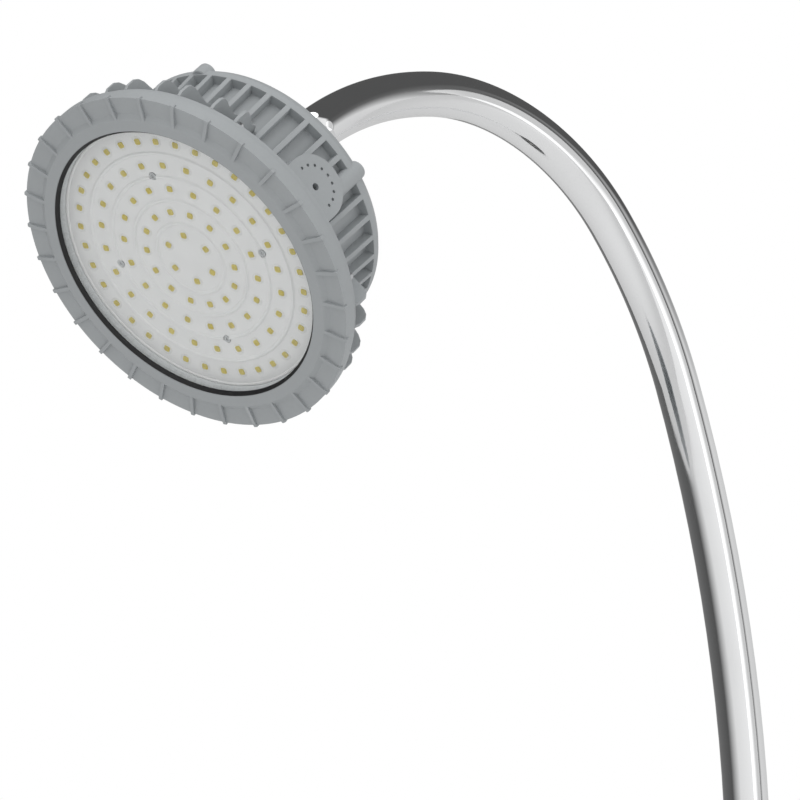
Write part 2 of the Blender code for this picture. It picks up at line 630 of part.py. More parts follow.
def buildHousing(bezelPlaces, boardPlaces):
    housing = turned("heatsink_housing", [
        (0, floorFront), (rimInner, floorFront), (rimInner, gasketFront - 0.0019 - GAP),
        (rimOuter, gasketFront - 0.0019 - GAP), (rimOuter, flangeFront), (flangeR, flangeFront),
        (flangeR, flangeBack), (DRUM_R, flangeBack), (DRUM_R, ringFront), (ringR, ringFront),
        (ringR, ringFront - RING_FLAT), (ringR - RING_TAPER, ringBack), (coverR + GAP, ringBack),
        (coverR + GAP, shelfBack), (shelfR, shelfBack), (shelfR, shelfFront), (boreR, shelfFront),
        (boreR, floorBack), (0, floorBack)],
        "grey_paint", head)
    fin = outlineMesh("fin", [(DRUM_R - 0.002, flangeBack + 0.002), (finR - FIN_DRAFT, flangeBack + 0.002),
                              (finR, ringFront - 0.001), (DRUM_R - 0.002, ringFront - 0.001)], FIN_T)
    finAngles = [360 / FIN_COUNT * step for step in range(FIN_COUNT)]
    combine(housing, addCutter("fins", ringPattern("fins", fin, finAngles), head), "UNION")

    padCentre = flangeBack - PAD_REACH
    padStart = math.sqrt((DRUM_R - 0.001) ** 2 - (PAD_W / 2 + abs(PAD_OFFSET)) ** 2)
    for name, side in (("near_pad", -1), ("far_pad", 1)):
        middle = side * (padStart + padR) / 2
        low, high = sorted((side * padStart, side * padR))
        straight = boxMesh(name, (PAD_OFFSET - PAD_W / 2, low, padCentre),
                           (PAD_OFFSET + PAD_W / 2, high, flangeBack + 0.002))
        combine(housing, addCutter(name, straight, head), "UNION")
        tip = cylinderMesh(name + "_round", PAD_W / 2, padR - padStart, "Y", 24, (PAD_OFFSET, middle, padCentre))
        combine(housing, addCutter(name + "_round", tip, head), "UNION")
        hole = cylinderMesh(name + "_hole", PAD_HOLE_R, 0.024, "Y", 12, (PAD_OFFSET, side * padR, padCentre))
        combine(housing, addCutter(name + "_hole", hole, head), "DIFFERENCE")

    work = bmesh.new()
    for x, y in [around(lugCentreR, angle) for angle in LUG_ANGLES]:
        bmesh.ops.create_cone(work, cap_ends=True, segments=16, radius1=LUG_R, radius2=LUG_R, depth=LUG_LENGTH,
                              matrix=Matrix.Translation((x, y, ringBack + 0.0005 + LUG_LENGTH / 2)))
    combine(housing, addCutter("lugs", finishMesh("lugs", work), head), "UNION")
    coverPlaces = [around(coverScrewR, angle) for angle in quarterAngles(45)]
    holes(housing, "shelf_tappings", COVER_SCREW_R + GAP, shelfFront + 0.001, shelfBack - 0.001, coverPlaces,
          head)
    holes(housing, "flange_holes", SCREW_R + GAP, flangeFront + 0.001, flangeBack - 0.012, bezelPlaces, head)
    holes(housing, "floor_tappings", SCREW_R + GAP, floorFront + 0.001, floorBack + 0.001, boardPlaces, head)
    holes(housing, "driver_tappings", SCREW_R + GAP, floorBack + 0.003, floorBack - 0.001,
          [(side * (DRIVER_L + DRIVER_EAR) / 2, 0) for side in (-1, 1)], head)
    for index, place in enumerate(bezelPlaces):
        screw(f"bezel_screw_{index + 1}", flangeBack - GAP, -1, FLANGE_T + 0.006, SCREW_R, head, place)
    return coverPlaces


def buildDriver():
    halfL, halfW = DRIVER_L / 2, DRIVER_W / 2
    top = floorBack - GAP
    driver = addPart("led_driver", boxMesh("led_driver", (-halfL, -halfW, top - DRIVER_H), (halfL, halfW, top)),
                     "black_plastic", head)
    ears = boxMesh("driver_ears", (-halfL - DRIVER_EAR, -0.008, top - 0.003), (halfL + DRIVER_EAR, 0.008, top))
    combine(driver, addCutter("driver_ears", ears, head), "UNION")
    places = [(side * (DRIVER_L + DRIVER_EAR) / 2, 0) for side in (-1, 1)]
    holes(driver, "ear_holes", SCREW_R + GAP, top + 0.001, top - 0.004, places, head)
    for index, place in enumerate(places):
        screw(f"driver_screw_{index + 1}", top - 0.003 - GAP, -1, 0.0055, SCREW_R, head, place)


def buildRear(coverPlaces):
    gasketOut = coverR - GAP
    ring("rear_gasket", gasketOut - REAR_GASKET_W, gasketOut, shelfBack - GAP, shelfBack - GAP - REAR_GASKET_T,
         "black_rubber", head)
    pocketTop = coverFront - COVER_POCKET_H
    cover = turned("rear_cover", [(0, pocketTop), (pocketR, pocketTop), (pocketR, coverFront),
                                  (coverR, coverFront), (coverR, ringBack), (domeR, ringBack),
                                  (domeR - COVER_CHAMFER, coverBack), (0, coverBack)], "grey_paint", head)
    holes(cover, "cover_screw_holes", COVER_SCREW_R + GAP, coverFront + 0.001, ringBack - 0.001, coverPlaces,
          head)
    shankLength = COVER_T + REAR_GASKET_T + 3 * GAP + SHELF_T - 0.002
    for index, place in enumerate(coverPlaces):
        screw(f"cover_screw_{index + 1}", ringBack - GAP, -1, shankLength, COVER_SCREW_R, head, place)
    forkPlaces = [(PIVOT_OFFSET + x, y) for x, y in [around(forkScrewR, angle) for angle in quarterAngles(0)]]
    holes(cover, "fork_tappings", SCREW_R + GAP, coverBack + 0.0075, coverBack - 0.001, forkPlaces, head)
    holes(cover, "switch_hole", SWITCH_R + GAP, coverFront + 0.001, coverBack - 0.001, [(-switchOffset, 0)],
          head, sides=24)

    boreTop = coverBack + 0.011
    turned("switch_body", [(0, boreTop + 0.002), (SWITCH_R, boreTop + 0.002), (SWITCH_R, coverBack - GAP),
                           (SWITCH_R + 0.003, coverBack - GAP), (SWITCH_R + 0.003, coverBack - 0.0027),
                           (BUTTON_R + RUNNING, coverBack - 0.0027), (BUTTON_R + RUNNING, boreTop), (0, boreTop)],
           "black_plastic", head, (-switchOffset, 0, 0), sides=24)
    disc("power_button", BUTTON_R, boreTop - BUTTON_TRAVEL - 0.0015, coverBack - 0.0027 - BUTTON_TRAVEL - 0.001,
         "black_plastic", head, (-switchOffset, 0, 0), sides=24)


buildBase()
buildClampKnob()
buildArch()
buildKnuckle()
bezelScrews = buildBezel()
boardScrews = buildOptics()
coverScrews = buildHousing(bezelScrews, boardScrews)
buildDriver()
buildRear(coverScrews)
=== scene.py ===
import json
import math

import bmesh
import bpy
from mathutils import Matrix, Vector


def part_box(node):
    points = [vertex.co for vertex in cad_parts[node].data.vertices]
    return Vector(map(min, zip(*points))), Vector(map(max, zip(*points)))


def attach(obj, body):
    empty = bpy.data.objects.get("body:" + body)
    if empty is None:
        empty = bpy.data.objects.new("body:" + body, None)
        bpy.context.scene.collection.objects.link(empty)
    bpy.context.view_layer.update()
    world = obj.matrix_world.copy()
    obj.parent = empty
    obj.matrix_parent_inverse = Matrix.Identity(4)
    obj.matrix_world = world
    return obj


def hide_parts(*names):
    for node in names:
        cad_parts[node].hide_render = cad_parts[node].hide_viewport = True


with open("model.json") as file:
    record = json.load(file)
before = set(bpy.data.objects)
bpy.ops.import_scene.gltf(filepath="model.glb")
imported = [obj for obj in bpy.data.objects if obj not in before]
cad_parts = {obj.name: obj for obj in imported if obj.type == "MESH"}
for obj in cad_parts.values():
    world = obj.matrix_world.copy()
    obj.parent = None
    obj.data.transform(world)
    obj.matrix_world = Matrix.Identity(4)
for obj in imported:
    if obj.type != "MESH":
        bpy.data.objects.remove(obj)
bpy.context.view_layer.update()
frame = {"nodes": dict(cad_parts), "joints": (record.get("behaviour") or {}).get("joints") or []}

joints = {joint["name"]: joint for joint in frame["joints"]}
scene = bpy.context.scene
print("frame loaded:", len(frame["nodes"]), "nodes")


# shader groups, and the small node helpers that they share
def startGroup(name, inputs, outputs):
    group = bpy.data.node_groups.new(name, "ShaderNodeTree")
    for label, kind, value in inputs:
        socket = group.interface.new_socket(label, in_out="INPUT", socket_type=kind)
        if value is not None:
            socket.default_value = value
    for label, kind in outputs:
        group.interface.new_socket(label, in_out="OUTPUT", socket_type=kind)
    return group, group.nodes.new("NodeGroupInput"), group.nodes.new("NodeGroupOutput")


def addMath(tree, operation, first, second=None, third=None):
    node = tree.nodes.new("ShaderNodeMath")
    node.operation = operation
    for index, value in enumerate((first, second, third)):
        if value is None:
            continue
        if isinstance(value, (int, float)):
            node.inputs[index].default_value = value
        else:
            tree.links.new(value, node.inputs[index])
    return node.outputs[0]


def addNoise(tree, vector, scale, detail=2.0, rough=0.5):
    node = tree.nodes.new("ShaderNodeTexNoise")
    tree.links.new(vector, node.inputs["Vector"])
    if isinstance(scale, (int, float)):
        node.inputs["Scale"].default_value = scale
    else:
        tree.links.new(scale, node.inputs["Scale"])
    node.inputs["Detail"].default_value = detail
    node.inputs["Roughness"].default_value = rough
    return node.outputs["Fac"]


def addRange(tree, value, fromLow, fromHigh, toLow, toHigh):
    node = tree.nodes.new("ShaderNodeMapRange")
    tree.links.new(value, node.inputs["Value"])
    for label, amount in (("From Min", fromLow), ("From Max", fromHigh), ("To Min", toLow),
                          ("To Max", toHigh)):
        node.inputs[label].default_value = amount
    return node.outputs["Result"]


def stretched(tree, vector, amounts):
    node = tree.nodes.new("ShaderNodeVectorMath")
    node.operation = "MULTIPLY"
    tree.links.new(vector, node.inputs[0])
    node.inputs[1].default_value = amounts
    return node.outputs[0]


# fine orange-peel grain and slow cloudy patches of a sprayed or moulded surface
def makeSkinGroup():
    group, inside, out = startGroup("surfaceSkin", [("Vector", "NodeSocketVector", None),
                                                    ("Grain Scale", "NodeSocketFloat", 1500.0),
                                                    ("Patch Scale", "NodeSocketFloat", 14.0)],
                                    [("Grain", "NodeSocketFloat"), ("Patches", "NodeSocketFloat")])
    vector = inside.outputs["Vector"]
    fine = addNoise(group, vector, inside.outputs["Grain Scale"], 2.0, 0.6)
    coarse = addNoise(group, vector, addMath(group, "MULTIPLY", inside.outputs["Grain Scale"], 0.3), 1.0)
    grain = addMath(group, "MULTIPLY_ADD", coarse, 0.6, addMath(group, "MULTIPLY", fine, 0.4))
    group.links.new(grain, out.inputs["Grain"])
    group.links.new(addNoise(group, vector, inside.outputs["Patch Scale"], 3.0, 0.55), out.inputs["Patches"])
    return group


# where corners stand proud and get rubbed, broken up by noise
def makeRubGroup():
    group, inside, out = startGroup("edgeRub", [("Vector", "NodeSocketVector", None),
                                                ("Reach", "NodeSocketFloat", 0.56)],
                                    [("Rub", "NodeSocketFloat")])
    geometry = group.nodes.new("ShaderNodeNewGeometry")
    speckle = addNoise(group, inside.outputs["Vector"], 220.0, 4.0, 0.65)
    corner = addMath(group, "SUBTRACT", geometry.outputs["Pointiness"], inside.outputs["Reach"])
    corner = addMath(group, "MULTIPLY", corner, 22.0)
    rub = addMath(group, "MULTIPLY", corner, addRange(group, speckle, 0.42, 0.62, 0.0, 1.0))
    rub = addMath(group, "MINIMUM", addMath(group, "MAXIMUM", rub, 0.0), 1.0)
    group.links.new(rub, out.inputs["Rub"])
    return group


# smears and fingertip marks left on polished metal and glass
def makeSmearGroup():
    group, inside, out = startGroup("handledFilm", [("Vector", "NodeSocketVector", None),
                                                    ("Size", "NodeSocketFloat", 18.0)],
                                    [("Film", "NodeSocketFloat")])
    cloud = addNoise(group, inside.outputs["Vector"], inside.outputs["Size"], 5.0, 0.62)
    streak = addNoise(group, stretched(group, inside.outputs["Vector"], (3.0, 3.0, 0.35)),
                      addMath(group, "MULTIPLY", inside.outputs["Size"], 9.0), 3.0, 0.6)
    film = addMath(group, "MULTIPLY", addRange(group, cloud, 0.45, 0.7, 0.0, 1.0),
                   addRange(group, streak, 0.35, 0.65, 0.35, 1.0))
    group.links.new(film, out.inputs["Film"])
    return group


# concentric lines left by spinning or turning, about the piece's own Z axis through its origin
def makeTurnedGroup():
    group, inside, out = startGroup("turnedLines", [("Vector", "NodeSocketVector", None),
                                                    ("Pitch", "NodeSocketFloat", 900.0)],
                                    [("Lines", "NodeSocketFloat")])
    split = group.nodes.new("ShaderNodeSeparateXYZ")
    group.links.new(inside.outputs["Vector"], split.inputs[0])
    radius = addMath(group, "SQRT", addMath(group, "ADD", addMath(group, "MULTIPLY", split.outputs[0],
                                                                  split.outputs[0]),
                                            addMath(group, "MULTIPLY", split.outputs[1], split.outputs[1])))
    joined = group.nodes.new("ShaderNodeCombineXYZ")
    group.links.new(radius, joined.inputs[0])
    group.links.new(split.outputs[2], joined.inputs[1])
    group.links.new(addNoise(group, joined.outputs[0], inside.outputs["Pitch"], 3.0, 0.7),
                    out.inputs["Lines"])
    return group


groups = {"skin": makeSkinGroup(), "rub": makeRubGroup(), "film": makeSmearGroup(),
          "turned": makeTurnedGroup()}


# materials
def startFinish(name, colour, metallic, roughness, specular=0.5):
    finish = bpy.data.materials.new(name)
    finish.use_nodes = True
    tree = finish.node_tree
    shader = tree.nodes["Principled BSDF"]
    shader.inputs["Base Color"].default_value = (*colour, 1.0)
    shader.inputs["Metallic"].default_value = metallic
    shader.inputs["Roughness"].default_value = roughness
    shader.inputs["Specular IOR Level"].default_value = specular
    place = tree.nodes.new("ShaderNodeTexCoord").outputs["Object"]
    return finish, tree, shader, place


def useGroup(tree, kind, place, **values):
    node = tree.nodes.new("ShaderNodeGroup")
    node.node_tree = groups[kind]
    tree.links.new(place, node.inputs["Vector"])
    for label, value in values.items():
        node.inputs[label.replace("_", " ")].default_value = value
    return node


def mixColours(tree, factor, first, second):
    node = tree.nodes.new("ShaderNodeMix")
    node.data_type = "RGBA"
    tree.links.new(factor, node.inputs["Factor"])
    for socket, value in ((node.inputs[6], first), (node.inputs[7], second)):
        if isinstance(value, tuple):
            socket.default_value = (*value, 1.0)
        else:
            tree.links.new(value, socket)
    return node.outputs[2]


def addBump(tree, shader, height, strength, distance):
    bump = tree.nodes.new("ShaderNodeBump")
    bump.inputs["Strength"].default_value = strength
    bump.inputs["Distance"].default_value = distance
    tree.links.new(height, bump.inputs["Height"])
    tree.links.new(bump.outputs["Normal"], shader.inputs["Normal"])


# a coat with grain, cloudy tone, rubbed corners: paint, plastic, rubber
def makeCoat(name, look):
    finish, tree, shader, place = startFinish(name, look["colour"], 0.0, look["roughness"],
                                              look.get("specular", 0.5))
    skin = useGroup(tree, "skin", place, Grain_Scale=look["grain"], Patch_Scale=look["patch"])
    rub = useGroup(tree, "rub", place, Reach=look.get("reach", 0.56))
    tone = mixColours(tree, addRange(tree, skin.outputs["Patches"], 0.3, 0.7, 0.0, 1.0),
                      tuple(c * (1 - look["spread"]) for c in look["colour"]),
                      tuple(c * (1 + look["spread"]) for c in look["colour"]))
    speck = addRange(tree, skin.outputs["Grain"], 0.35, 0.65, 0.0, look.get("speckle", 0.06))
    tone = mixColours(tree, speck, tone, tuple(c * 0.6 for c in look["colour"]))
    tree.links.new(mixColours(tree, addMath(tree, "MULTIPLY", rub.outputs["Rub"], look["rubbed"]), tone,
                              look["rubColour"]), shader.inputs["Base Color"])
    rough = addRange(tree, skin.outputs["Patches"], 0.3, 0.7, look["roughness"] - 0.06,
                     look["roughness"] + 0.06)
    tree.links.new(addMath(tree, "SUBTRACT", rough, addMath(tree, "MULTIPLY", rub.outputs["Rub"], 0.12)),
                   shader.inputs["Roughness"])
    addBump(tree, shader, skin.outputs["Grain"], look["bump"], look["depth"])
    return finish


# bare or plated metal: handling film, turning lines, fine grain
def makeMetal(name, look):
    finish, tree, shader, place = startFinish(name, look["colour"], 1.0, look["roughness"])
    film = useGroup(tree, "film", place, Size=look["film"])
    lines = useGroup(tree, "turned", place, Pitch=look["pitch"])
    skin = useGroup(tree, "skin", place, Grain_Scale=look["grain"], Patch_Scale=9.0)
    tree.links.new(mixColours(tree, addMath(tree, "MULTIPLY", film.outputs["Film"], look["dull"]),
                              look["colour"],
                              tuple(c * 0.72 for c in look["colour"])), shader.inputs["Base Color"])
    rough = addMath(tree, "MULTIPLY_ADD", film.outputs["Film"], look["filmRough"], look["roughness"])
    rough = addMath(tree, "MULTIPLY_ADD", lines.outputs["Lines"], look["lineRough"], rough)
    tree.links.new(rough, shader.inputs["Roughness"])
    height = addMath(tree, "MULTIPLY_ADD", lines.outputs["Lines"], look["lineHeight"],
                     addMath(tree, "MULTIPLY", skin.outputs["Grain"], look["grainHeight"]))
    addBump(tree, shader, height, look["bump"], look["depth"])
    return finish


def makeGlass(name):
    finish, tree, shader, place = startFinish(name, (0.97, 0.985, 0.98), 0.0, 0.02)
    shader.inputs["Transmission Weight"].default_value = 1.0
    shader.inputs["IOR"].default_value = 1.45
    film = useGroup(tree, "film", place, Size=22.0)
    tree.links.new(addRange(tree, film.outputs["Film"], 0.0, 1.0, 0.01, 0.07), shader.inputs["Roughness"])
    addBump(tree, shader, film.outputs["Film"], 0.02, 0.0001)
    rays = tree.nodes.new("ShaderNodeLightPath")
    clear = tree.nodes.new("ShaderNodeBsdfTransparent")
    mix = tree.nodes.new("ShaderNodeMixShader")
    tree.links.new(addMath(tree, "MAXIMUM", rays.outputs["Is Shadow Ray"], rays.outputs["Is Diffuse Ray"]),
                   mix.inputs[0])
    tree.links.new(shader.outputs[0], mix.inputs[1])
    tree.links.new(clear.outputs[0], mix.inputs[2])
    tree.links.new(mix.outputs[0], tree.nodes["Material Output"].inputs["Surface"])
    return finish


# silicone drop over each chip: milky and almost fully see-through, its clearness varying in patches
def makeDome(name):
    finish, tree, shader, place = startFinish(name, (0.86, 0.86, 0.85), 0.0, 0.22)
    skin = useGroup(tree, "skin", place, Grain_Scale=900.0, Patch_Scale=60.0)
    tree.links.new(mixColours(tree, skin.outputs["Patches"], (0.82, 0.82, 0.81), (0.92, 0.92, 0.91)),
                   shader.inputs["Base Color"])
    tree.links.new(addRange(tree, skin.outputs["Patches"], 0.3, 0.7, 0.16, 0.3), shader.inputs["Roughness"])
    tree.links.new(addRange(tree, skin.outputs["Patches"], 0.3, 0.7, 0.04, 0.09), shader.inputs["Alpha"])
    addBump(tree, shader, skin.outputs["Grain"], 0.05, 0.0002)
    return finish


looks = {
    "grey_paint": {"colour": (0.375, 0.395, 0.405), "roughness": 0.46, "grain": 1300.0, "patch": 9.0,
                   "spread": 0.03,
                   "rubbed": 0.35, "rubColour": (0.52, 0.54, 0.55), "bump": 0.12, "depth": 0.0004,
                   "specular": 0.4},
    "black_rubber": {"colour": (0.012, 0.012, 0.013), "roughness": 0.62, "grain": 1800.0, "patch": 30.0,
                     "spread": 0.2,
                     "rubbed": 0.4, "rubColour": (0.05, 0.05, 0.05), "bump": 0.2, "depth": 0.0003},
    "black_plastic": {"colour": (0.022, 0.022, 0.024), "roughness": 0.42, "grain": 2200.0, "patch": 25.0,
                      "spread": 0.12, "rubbed": 0.5, "rubColour": (0.07, 0.07, 0.07), "bump": 0.25,
                      "depth": 0.0003},
    "nylon": {"colour": (0.72, 0.70, 0.64), "roughness": 0.5, "grain": 1200.0, "patch": 40.0, "spread": 0.05,
              "rubbed": 0.2, "rubColour": (0.8, 0.79, 0.75), "bump": 0.1, "depth": 0.0002},
    "white_plate": {"colour": (0.80, 0.80, 0.80), "roughness": 0.5, "grain": 900.0, "patch": 60.0,
                    "spread": 0.02,
                    "rubbed": 0.5, "rubColour": (0.92, 0.92, 0.91), "bump": 0.06, "depth": 0.0003,
                    "speckle": 0.03},
    "board": {"colour": (0.62, 0.63, 0.62), "roughness": 0.4, "grain": 1500.0, "patch": 30.0, "spread": 0.04,
              "rubbed": 0.2, "rubColour": (0.8, 0.8, 0.8), "bump": 0.08, "depth": 0.0002},
    "cast_iron": {"colour": (0.05, 0.05, 0.055), "roughness": 0.6, "grain": 500.0, "patch": 12.0,
                  "spread": 0.2,
                  "rubbed": 0.5, "rubColour": (0.16, 0.15, 0.15), "bump": 0.6, "depth": 0.0008},
    "phosphor": {"colour": (0.56, 0.44, 0.012), "roughness": 0.7, "grain": 5200.0, "patch": 300.0,
                 "spread": 0.12,
                 "rubbed": 0.2, "rubColour": (0.8, 0.7, 0.2), "bump": 0.2, "depth": 0.0001, "speckle": 0.12},
    # the knurled spacer's grey is much lighter than grey_paint: painted light that lifts it out of the shade
    # cast by the bezel lip
    "knurl_grey_painted_light": {"colour": (0.66, 0.68, 0.69), "roughness": 0.5, "grain": 1300.0, "patch": 12.0,
                      "spread": 0.05,
                      "rubbed": 0.3, "rubColour": (0.4, 0.42, 0.43), "bump": 0.12, "depth": 0.0004},
}
metals = {
    "chrome": {"colour": (0.86, 0.865, 0.87), "roughness": 0.055, "film": 16.0, "pitch": 700.0,
               "grain": 700.0,
               "dull": 0.12, "filmRough": 0.06, "lineRough": 0.01, "lineHeight": 0.0, "grainHeight": 0.5,
               "bump": 0.012, "depth": 0.0004},
    "steel": {"colour": (0.60, 0.61, 0.62), "roughness": 0.26, "film": 90.0, "pitch": 2600.0, "grain": 2500.0,
              "dull": 0.4, "filmRough": 0.14, "lineRough": 0.05, "lineHeight": 0.5, "grainHeight": 0.5,
              "bump": 0.08, "depth": 0.0002},
    "spun_chrome": {"colour": (0.80, 0.805, 0.81), "roughness": 0.16, "film": 10.0, "pitch": 900.0,
                    "grain": 900.0,
                    "dull": 0.2, "filmRough": 0.1, "lineRough": 0.12, "lineHeight": 1.0, "grainHeight": 0.1,
                    "bump": 0.05, "depth": 0.0003},
}
finishes = {name: makeCoat(name + "_finish", look) for name, look in looks.items()}
finishes.update({name: makeMetal(name + "_finish", look) for name, look in metals.items()})
finishes["glass"] = makeGlass("glass_finish")
finishes["dome"] = makeDome("dome_finish")
print("finishes made:", len(finishes))


# mesh helpers: all sizes below are in millimetres, and addPiece brings them to metres
def spun(points, steps=96, closed=False):
    work = bmesh.new()
    corners = [work.verts.new((r, 0, z)) for r, z in points]
    outline = [work.edges.new(pair) for pair in zip(corners, corners[1:])]
    if closed:
        outline.append(work.edges.new((corners[-1], corners[0])))
    bmesh.ops.spin(work, geom=corners + outline, cent=(0, 0, 0), axis=(0, 0, 1), angle=2 * math.pi,
                   steps=steps,
                   use_merge=True)
    bmesh.ops.remove_doubles(work, verts=work.verts, dist=0.001)
    bmesh.ops.recalc_face_normals(work, faces=work.faces)
    return work


def soften(work, width, segments=2, limit=25):
    least = math.radians(limit)
    sharp = [edge for edge in work.edges if edge.is_manifold and edge.calc_face_angle(0) > least]
    bmesh.ops.bevel(work, geom=sharp, offset=width, offset_type="OFFSET", segments=segments, profile=0.5,
                    affect="EDGES", material=-1, clamp_overlap=True)
    return work


def rod(radius, low, high, sides=48):
    work = bmesh.new()
    bmesh.ops.create_cone(work, cap_ends=True, segments=sides, radius1=radius, radius2=radius,
                          depth=high - low, matrix=Matrix.Translation((0, 0, (low + high) / 2)))
    return work


def block(low, high):
    work = bmesh.new()
    size = [b - a for a, b in zip(low, high)]
    middle = [(a + b) / 2 for a, b in zip(low, high)]
    bmesh.ops.create_cube(work, size=1.0, matrix=Matrix.Translation(middle) @ Matrix.Diagonal((*size, 1.0)))
    return work


# a flat outline in the XZ plane, given a thickness along Y
def slab(points, thickness):
    work = bmesh.new()
    face = work.faces.new([work.verts.new((x, -thickness / 2, z)) for x, z in points])
    grown = bmesh.ops.extrude_face_region(work, geom=[face])
    moved = [item for item in grown["geom"] if isinstance(item, bmesh.types.BMVert)]
    bmesh.ops.translate(work, verts=moved, vec=(0, thickness, 0))
    bmesh.ops.recalc_face_normals(work, faces=work.faces)
    return work


def placed(work, matrix):
    bmesh.ops.transform(work, matrix=matrix, verts=work.verts)
    return work


def toMesh(work, name="pattern"):
    mesh = bpy.data.meshes.new(name)
    work.to_mesh(mesh)
    work.free()
    return mesh


def laidOut(work, places):
    pattern = toMesh(work)
    whole = bmesh.new()
    for place in places:
        copy = pattern.copy()
        copy.transform(place)
        whole.from_mesh(copy)
        bpy.data.meshes.remove(copy)
    bpy.data.meshes.remove(pattern)
    return whole


def joined(*works):
    whole = bmesh.new()
    for work in works:
        mesh = toMesh(work)
        whole.from_mesh(mesh)
        bpy.data.meshes.remove(mesh)
    return whole


def combined(work, tool, operation="DIFFERENCE"):
    body, cutter = (bpy.data.objects.new(label, toMesh(item)) for label,
                    item in (("blank", work), ("tool", tool)))
    for item in (body, cutter):
        scene.collection.objects.link(item)
    cut = body.modifiers.new("cut", "BOOLEAN")
    cut.operation, cut.solver, cut.object = operation, "EXACT", cutter
    mesh = bpy.data.meshes.new_from_object(body.evaluated_get(bpy.context.evaluated_depsgraph_get()))
    result = bmesh.new()
    result.from_mesh(mesh)
    for data in (mesh, body.data, cutter.data):
        bpy.data.meshes.remove(data)
    return result


# slivers left by a cut are closed
def mended(work):
    bmesh.ops.remove_doubles(work, verts=work.verts, dist=0.01)
    bmesh.ops.dissolve_degenerate(work, dist=0.01, edges=work.edges)
    return work


def turnZ(angle):
    return Matrix.Rotation(math.radians(angle), 4, "Z")


def shift(x, y, z):
    return Matrix.Translation((x, y, z))


def around(radius, angles, height=0.0):
    return [turnZ(angle) @ shift(radius, 0, height) for angle in angles]


# cap screw: head up along +Z from z = 0, hexagon socket, rounded head edge
def capScrew(radius, headRadius, headHeight, length, key):
    work = bmesh.new()
    bmesh.ops.create_circle(work, segments=24, radius=headRadius, matrix=shift(0, 0, headHeight))
    hexa = bmesh.ops.create_circle(work, segments=6, radius=key, matrix=shift(0, 0, headHeight))["verts"]
    hexEdges = list({edge for vert in hexa for edge in vert.link_edges})
    bmesh.ops.subdivide_edges(work, edges=hexEdges, cuts=3)
    bmesh.ops.bridge_loops(work, edges=work.edges[:])
    inner = [edge for edge in work.edges if edge.is_boundary and edge.verts[0].co.xy.length < key * 1.01]
    outer = [edge for edge in work.edges if edge.is_boundary and edge.verts[0].co.xy.length > key * 1.01]
    well = bmesh.ops.extrude_edge_only(work, edges=inner)["geom"]
    bmesh.ops.translate(work, verts=[v for v in well if isinstance(v, bmesh.types.BMVert)],
                        vec=(0, 0, -headHeight * 0.65))
    bmesh.ops.edgeloop_fill(work, edges=[e for e in well if isinstance(e,
                                                                       bmesh.types.BMEdge) and e.is_boundary])
    for drop, scale in ((-headHeight, 1.0), (0.0, radius / headRadius), (-length, 1.0)):
        side = bmesh.ops.extrude_edge_only(work, edges=outer)["geom"]
        verts = [v for v in side if isinstance(v, bmesh.types.BMVert)]
        bmesh.ops.translate(work, verts=verts, vec=(0, 0, drop))
        bmesh.ops.scale(work, verts=verts, vec=(scale, scale, 1))
        outer = [e for e in side if isinstance(e, bmesh.types.BMEdge) and e.is_boundary]
    bmesh.ops.edgeloop_fill(work, edges=outer)
    bmesh.ops.recalc_face_normals(work, faces=work.faces)
    return soften(work, headHeight * 0.12, 2, 50)


# lobed hand knob along +Z from z = 0, with a dished face
def starKnob(coreRadius, lobeDepth, lobes, height):
    work = bmesh.new()
    rim = bmesh.ops.create_circle(work, segments=lobes * 24, radius=1.0)["verts"]
    for vert in rim:
        angle = math.atan2(vert.co.y, vert.co.x)
        vert.co *= coreRadius + lobeDepth * (0.5 + 0.5 * math.cos(lobes * angle))
    face = bmesh.ops.edgeloop_fill(work, edges=work.edges[:])["faces"][0]
    grown = bmesh.ops.extrude_face_region(work, geom=[face])["geom"]
    bmesh.ops.translate(work, verts=[v for v in grown if isinstance(v, bmesh.types.BMVert)],
                        vec=(0, 0, height))
    bmesh.ops.recalc_face_normals(work, faces=work.faces)
    soften(work, 1.6, 4, 60)
    dish = spun([(0, height - 0.9), (coreRadius * 0.5, height - 0.9), (coreRadius * 0.65, height + 0.5),
                 (0, height + 0.5)], 48)
    return combined(work, dish)


headFront = Vector(joints["power_press"]["axis"]).normalized()
headAcross = Vector(joints["head_tilt"]["axis"]).normalized()
headUp = headAcross.cross(headFront)
glassLow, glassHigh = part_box("front_glass")
glassDepth = 0.0058  # middle of the glass behind the bezel's front, in metres
headOrigin = (glassLow + glassHigh) / 2 + headFront * glassDepth
pivot = Vector(joints["head_tilt"]["pos_m"])


def axesAt(x, y, z, origin):
    matrix = Matrix((x, y, z)).transposed().to_4x4()
    return Matrix.Translation(origin) @ matrix @ Matrix.Scale(0.001, 4)


headPlace = axesAt(headUp, headAcross, headFront, headOrigin)
forkPlace = axesAt(headUp, headAcross, headFront, pivot)
basePlace = Matrix.Scale(0.001, 4)


# smooth shading with creases kept sharp, placed in the shared frame, then handed to its body
def addPiece(name, work, look, body, stands=(), place=basePlace, crease=38):
    placed(work, place)
    for face in work.faces:
        face.smooth = True
    for edge in work.edges:
        if edge.is_manifold:
            edge.smooth = edge.calc_face_angle(0) < math.radians(crease)
    mesh = toMesh(work, name)
    mesh.materials.append(finishes[look])
    piece = bpy.data.objects.new(name, mesh)
    scene.collection.objects.link(piece)
    weights = piece.modifiers.new("levelNormals", "WEIGHTED_NORMAL")
    weights.keep_sharp = True
    weights.weight = 80
    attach(piece, body)
    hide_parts(*stands)
    return piece


# camera, light and floor
view = {"place": (-2.0475, -2.057, 0.281), "right": (0.7761, -0.6306, 0.0),
        "back": (-0.5899, -0.7260, -0.3535),
        "toViewer": (-0.6306, -0.7761, 0.0),
        "lens": 158.04}


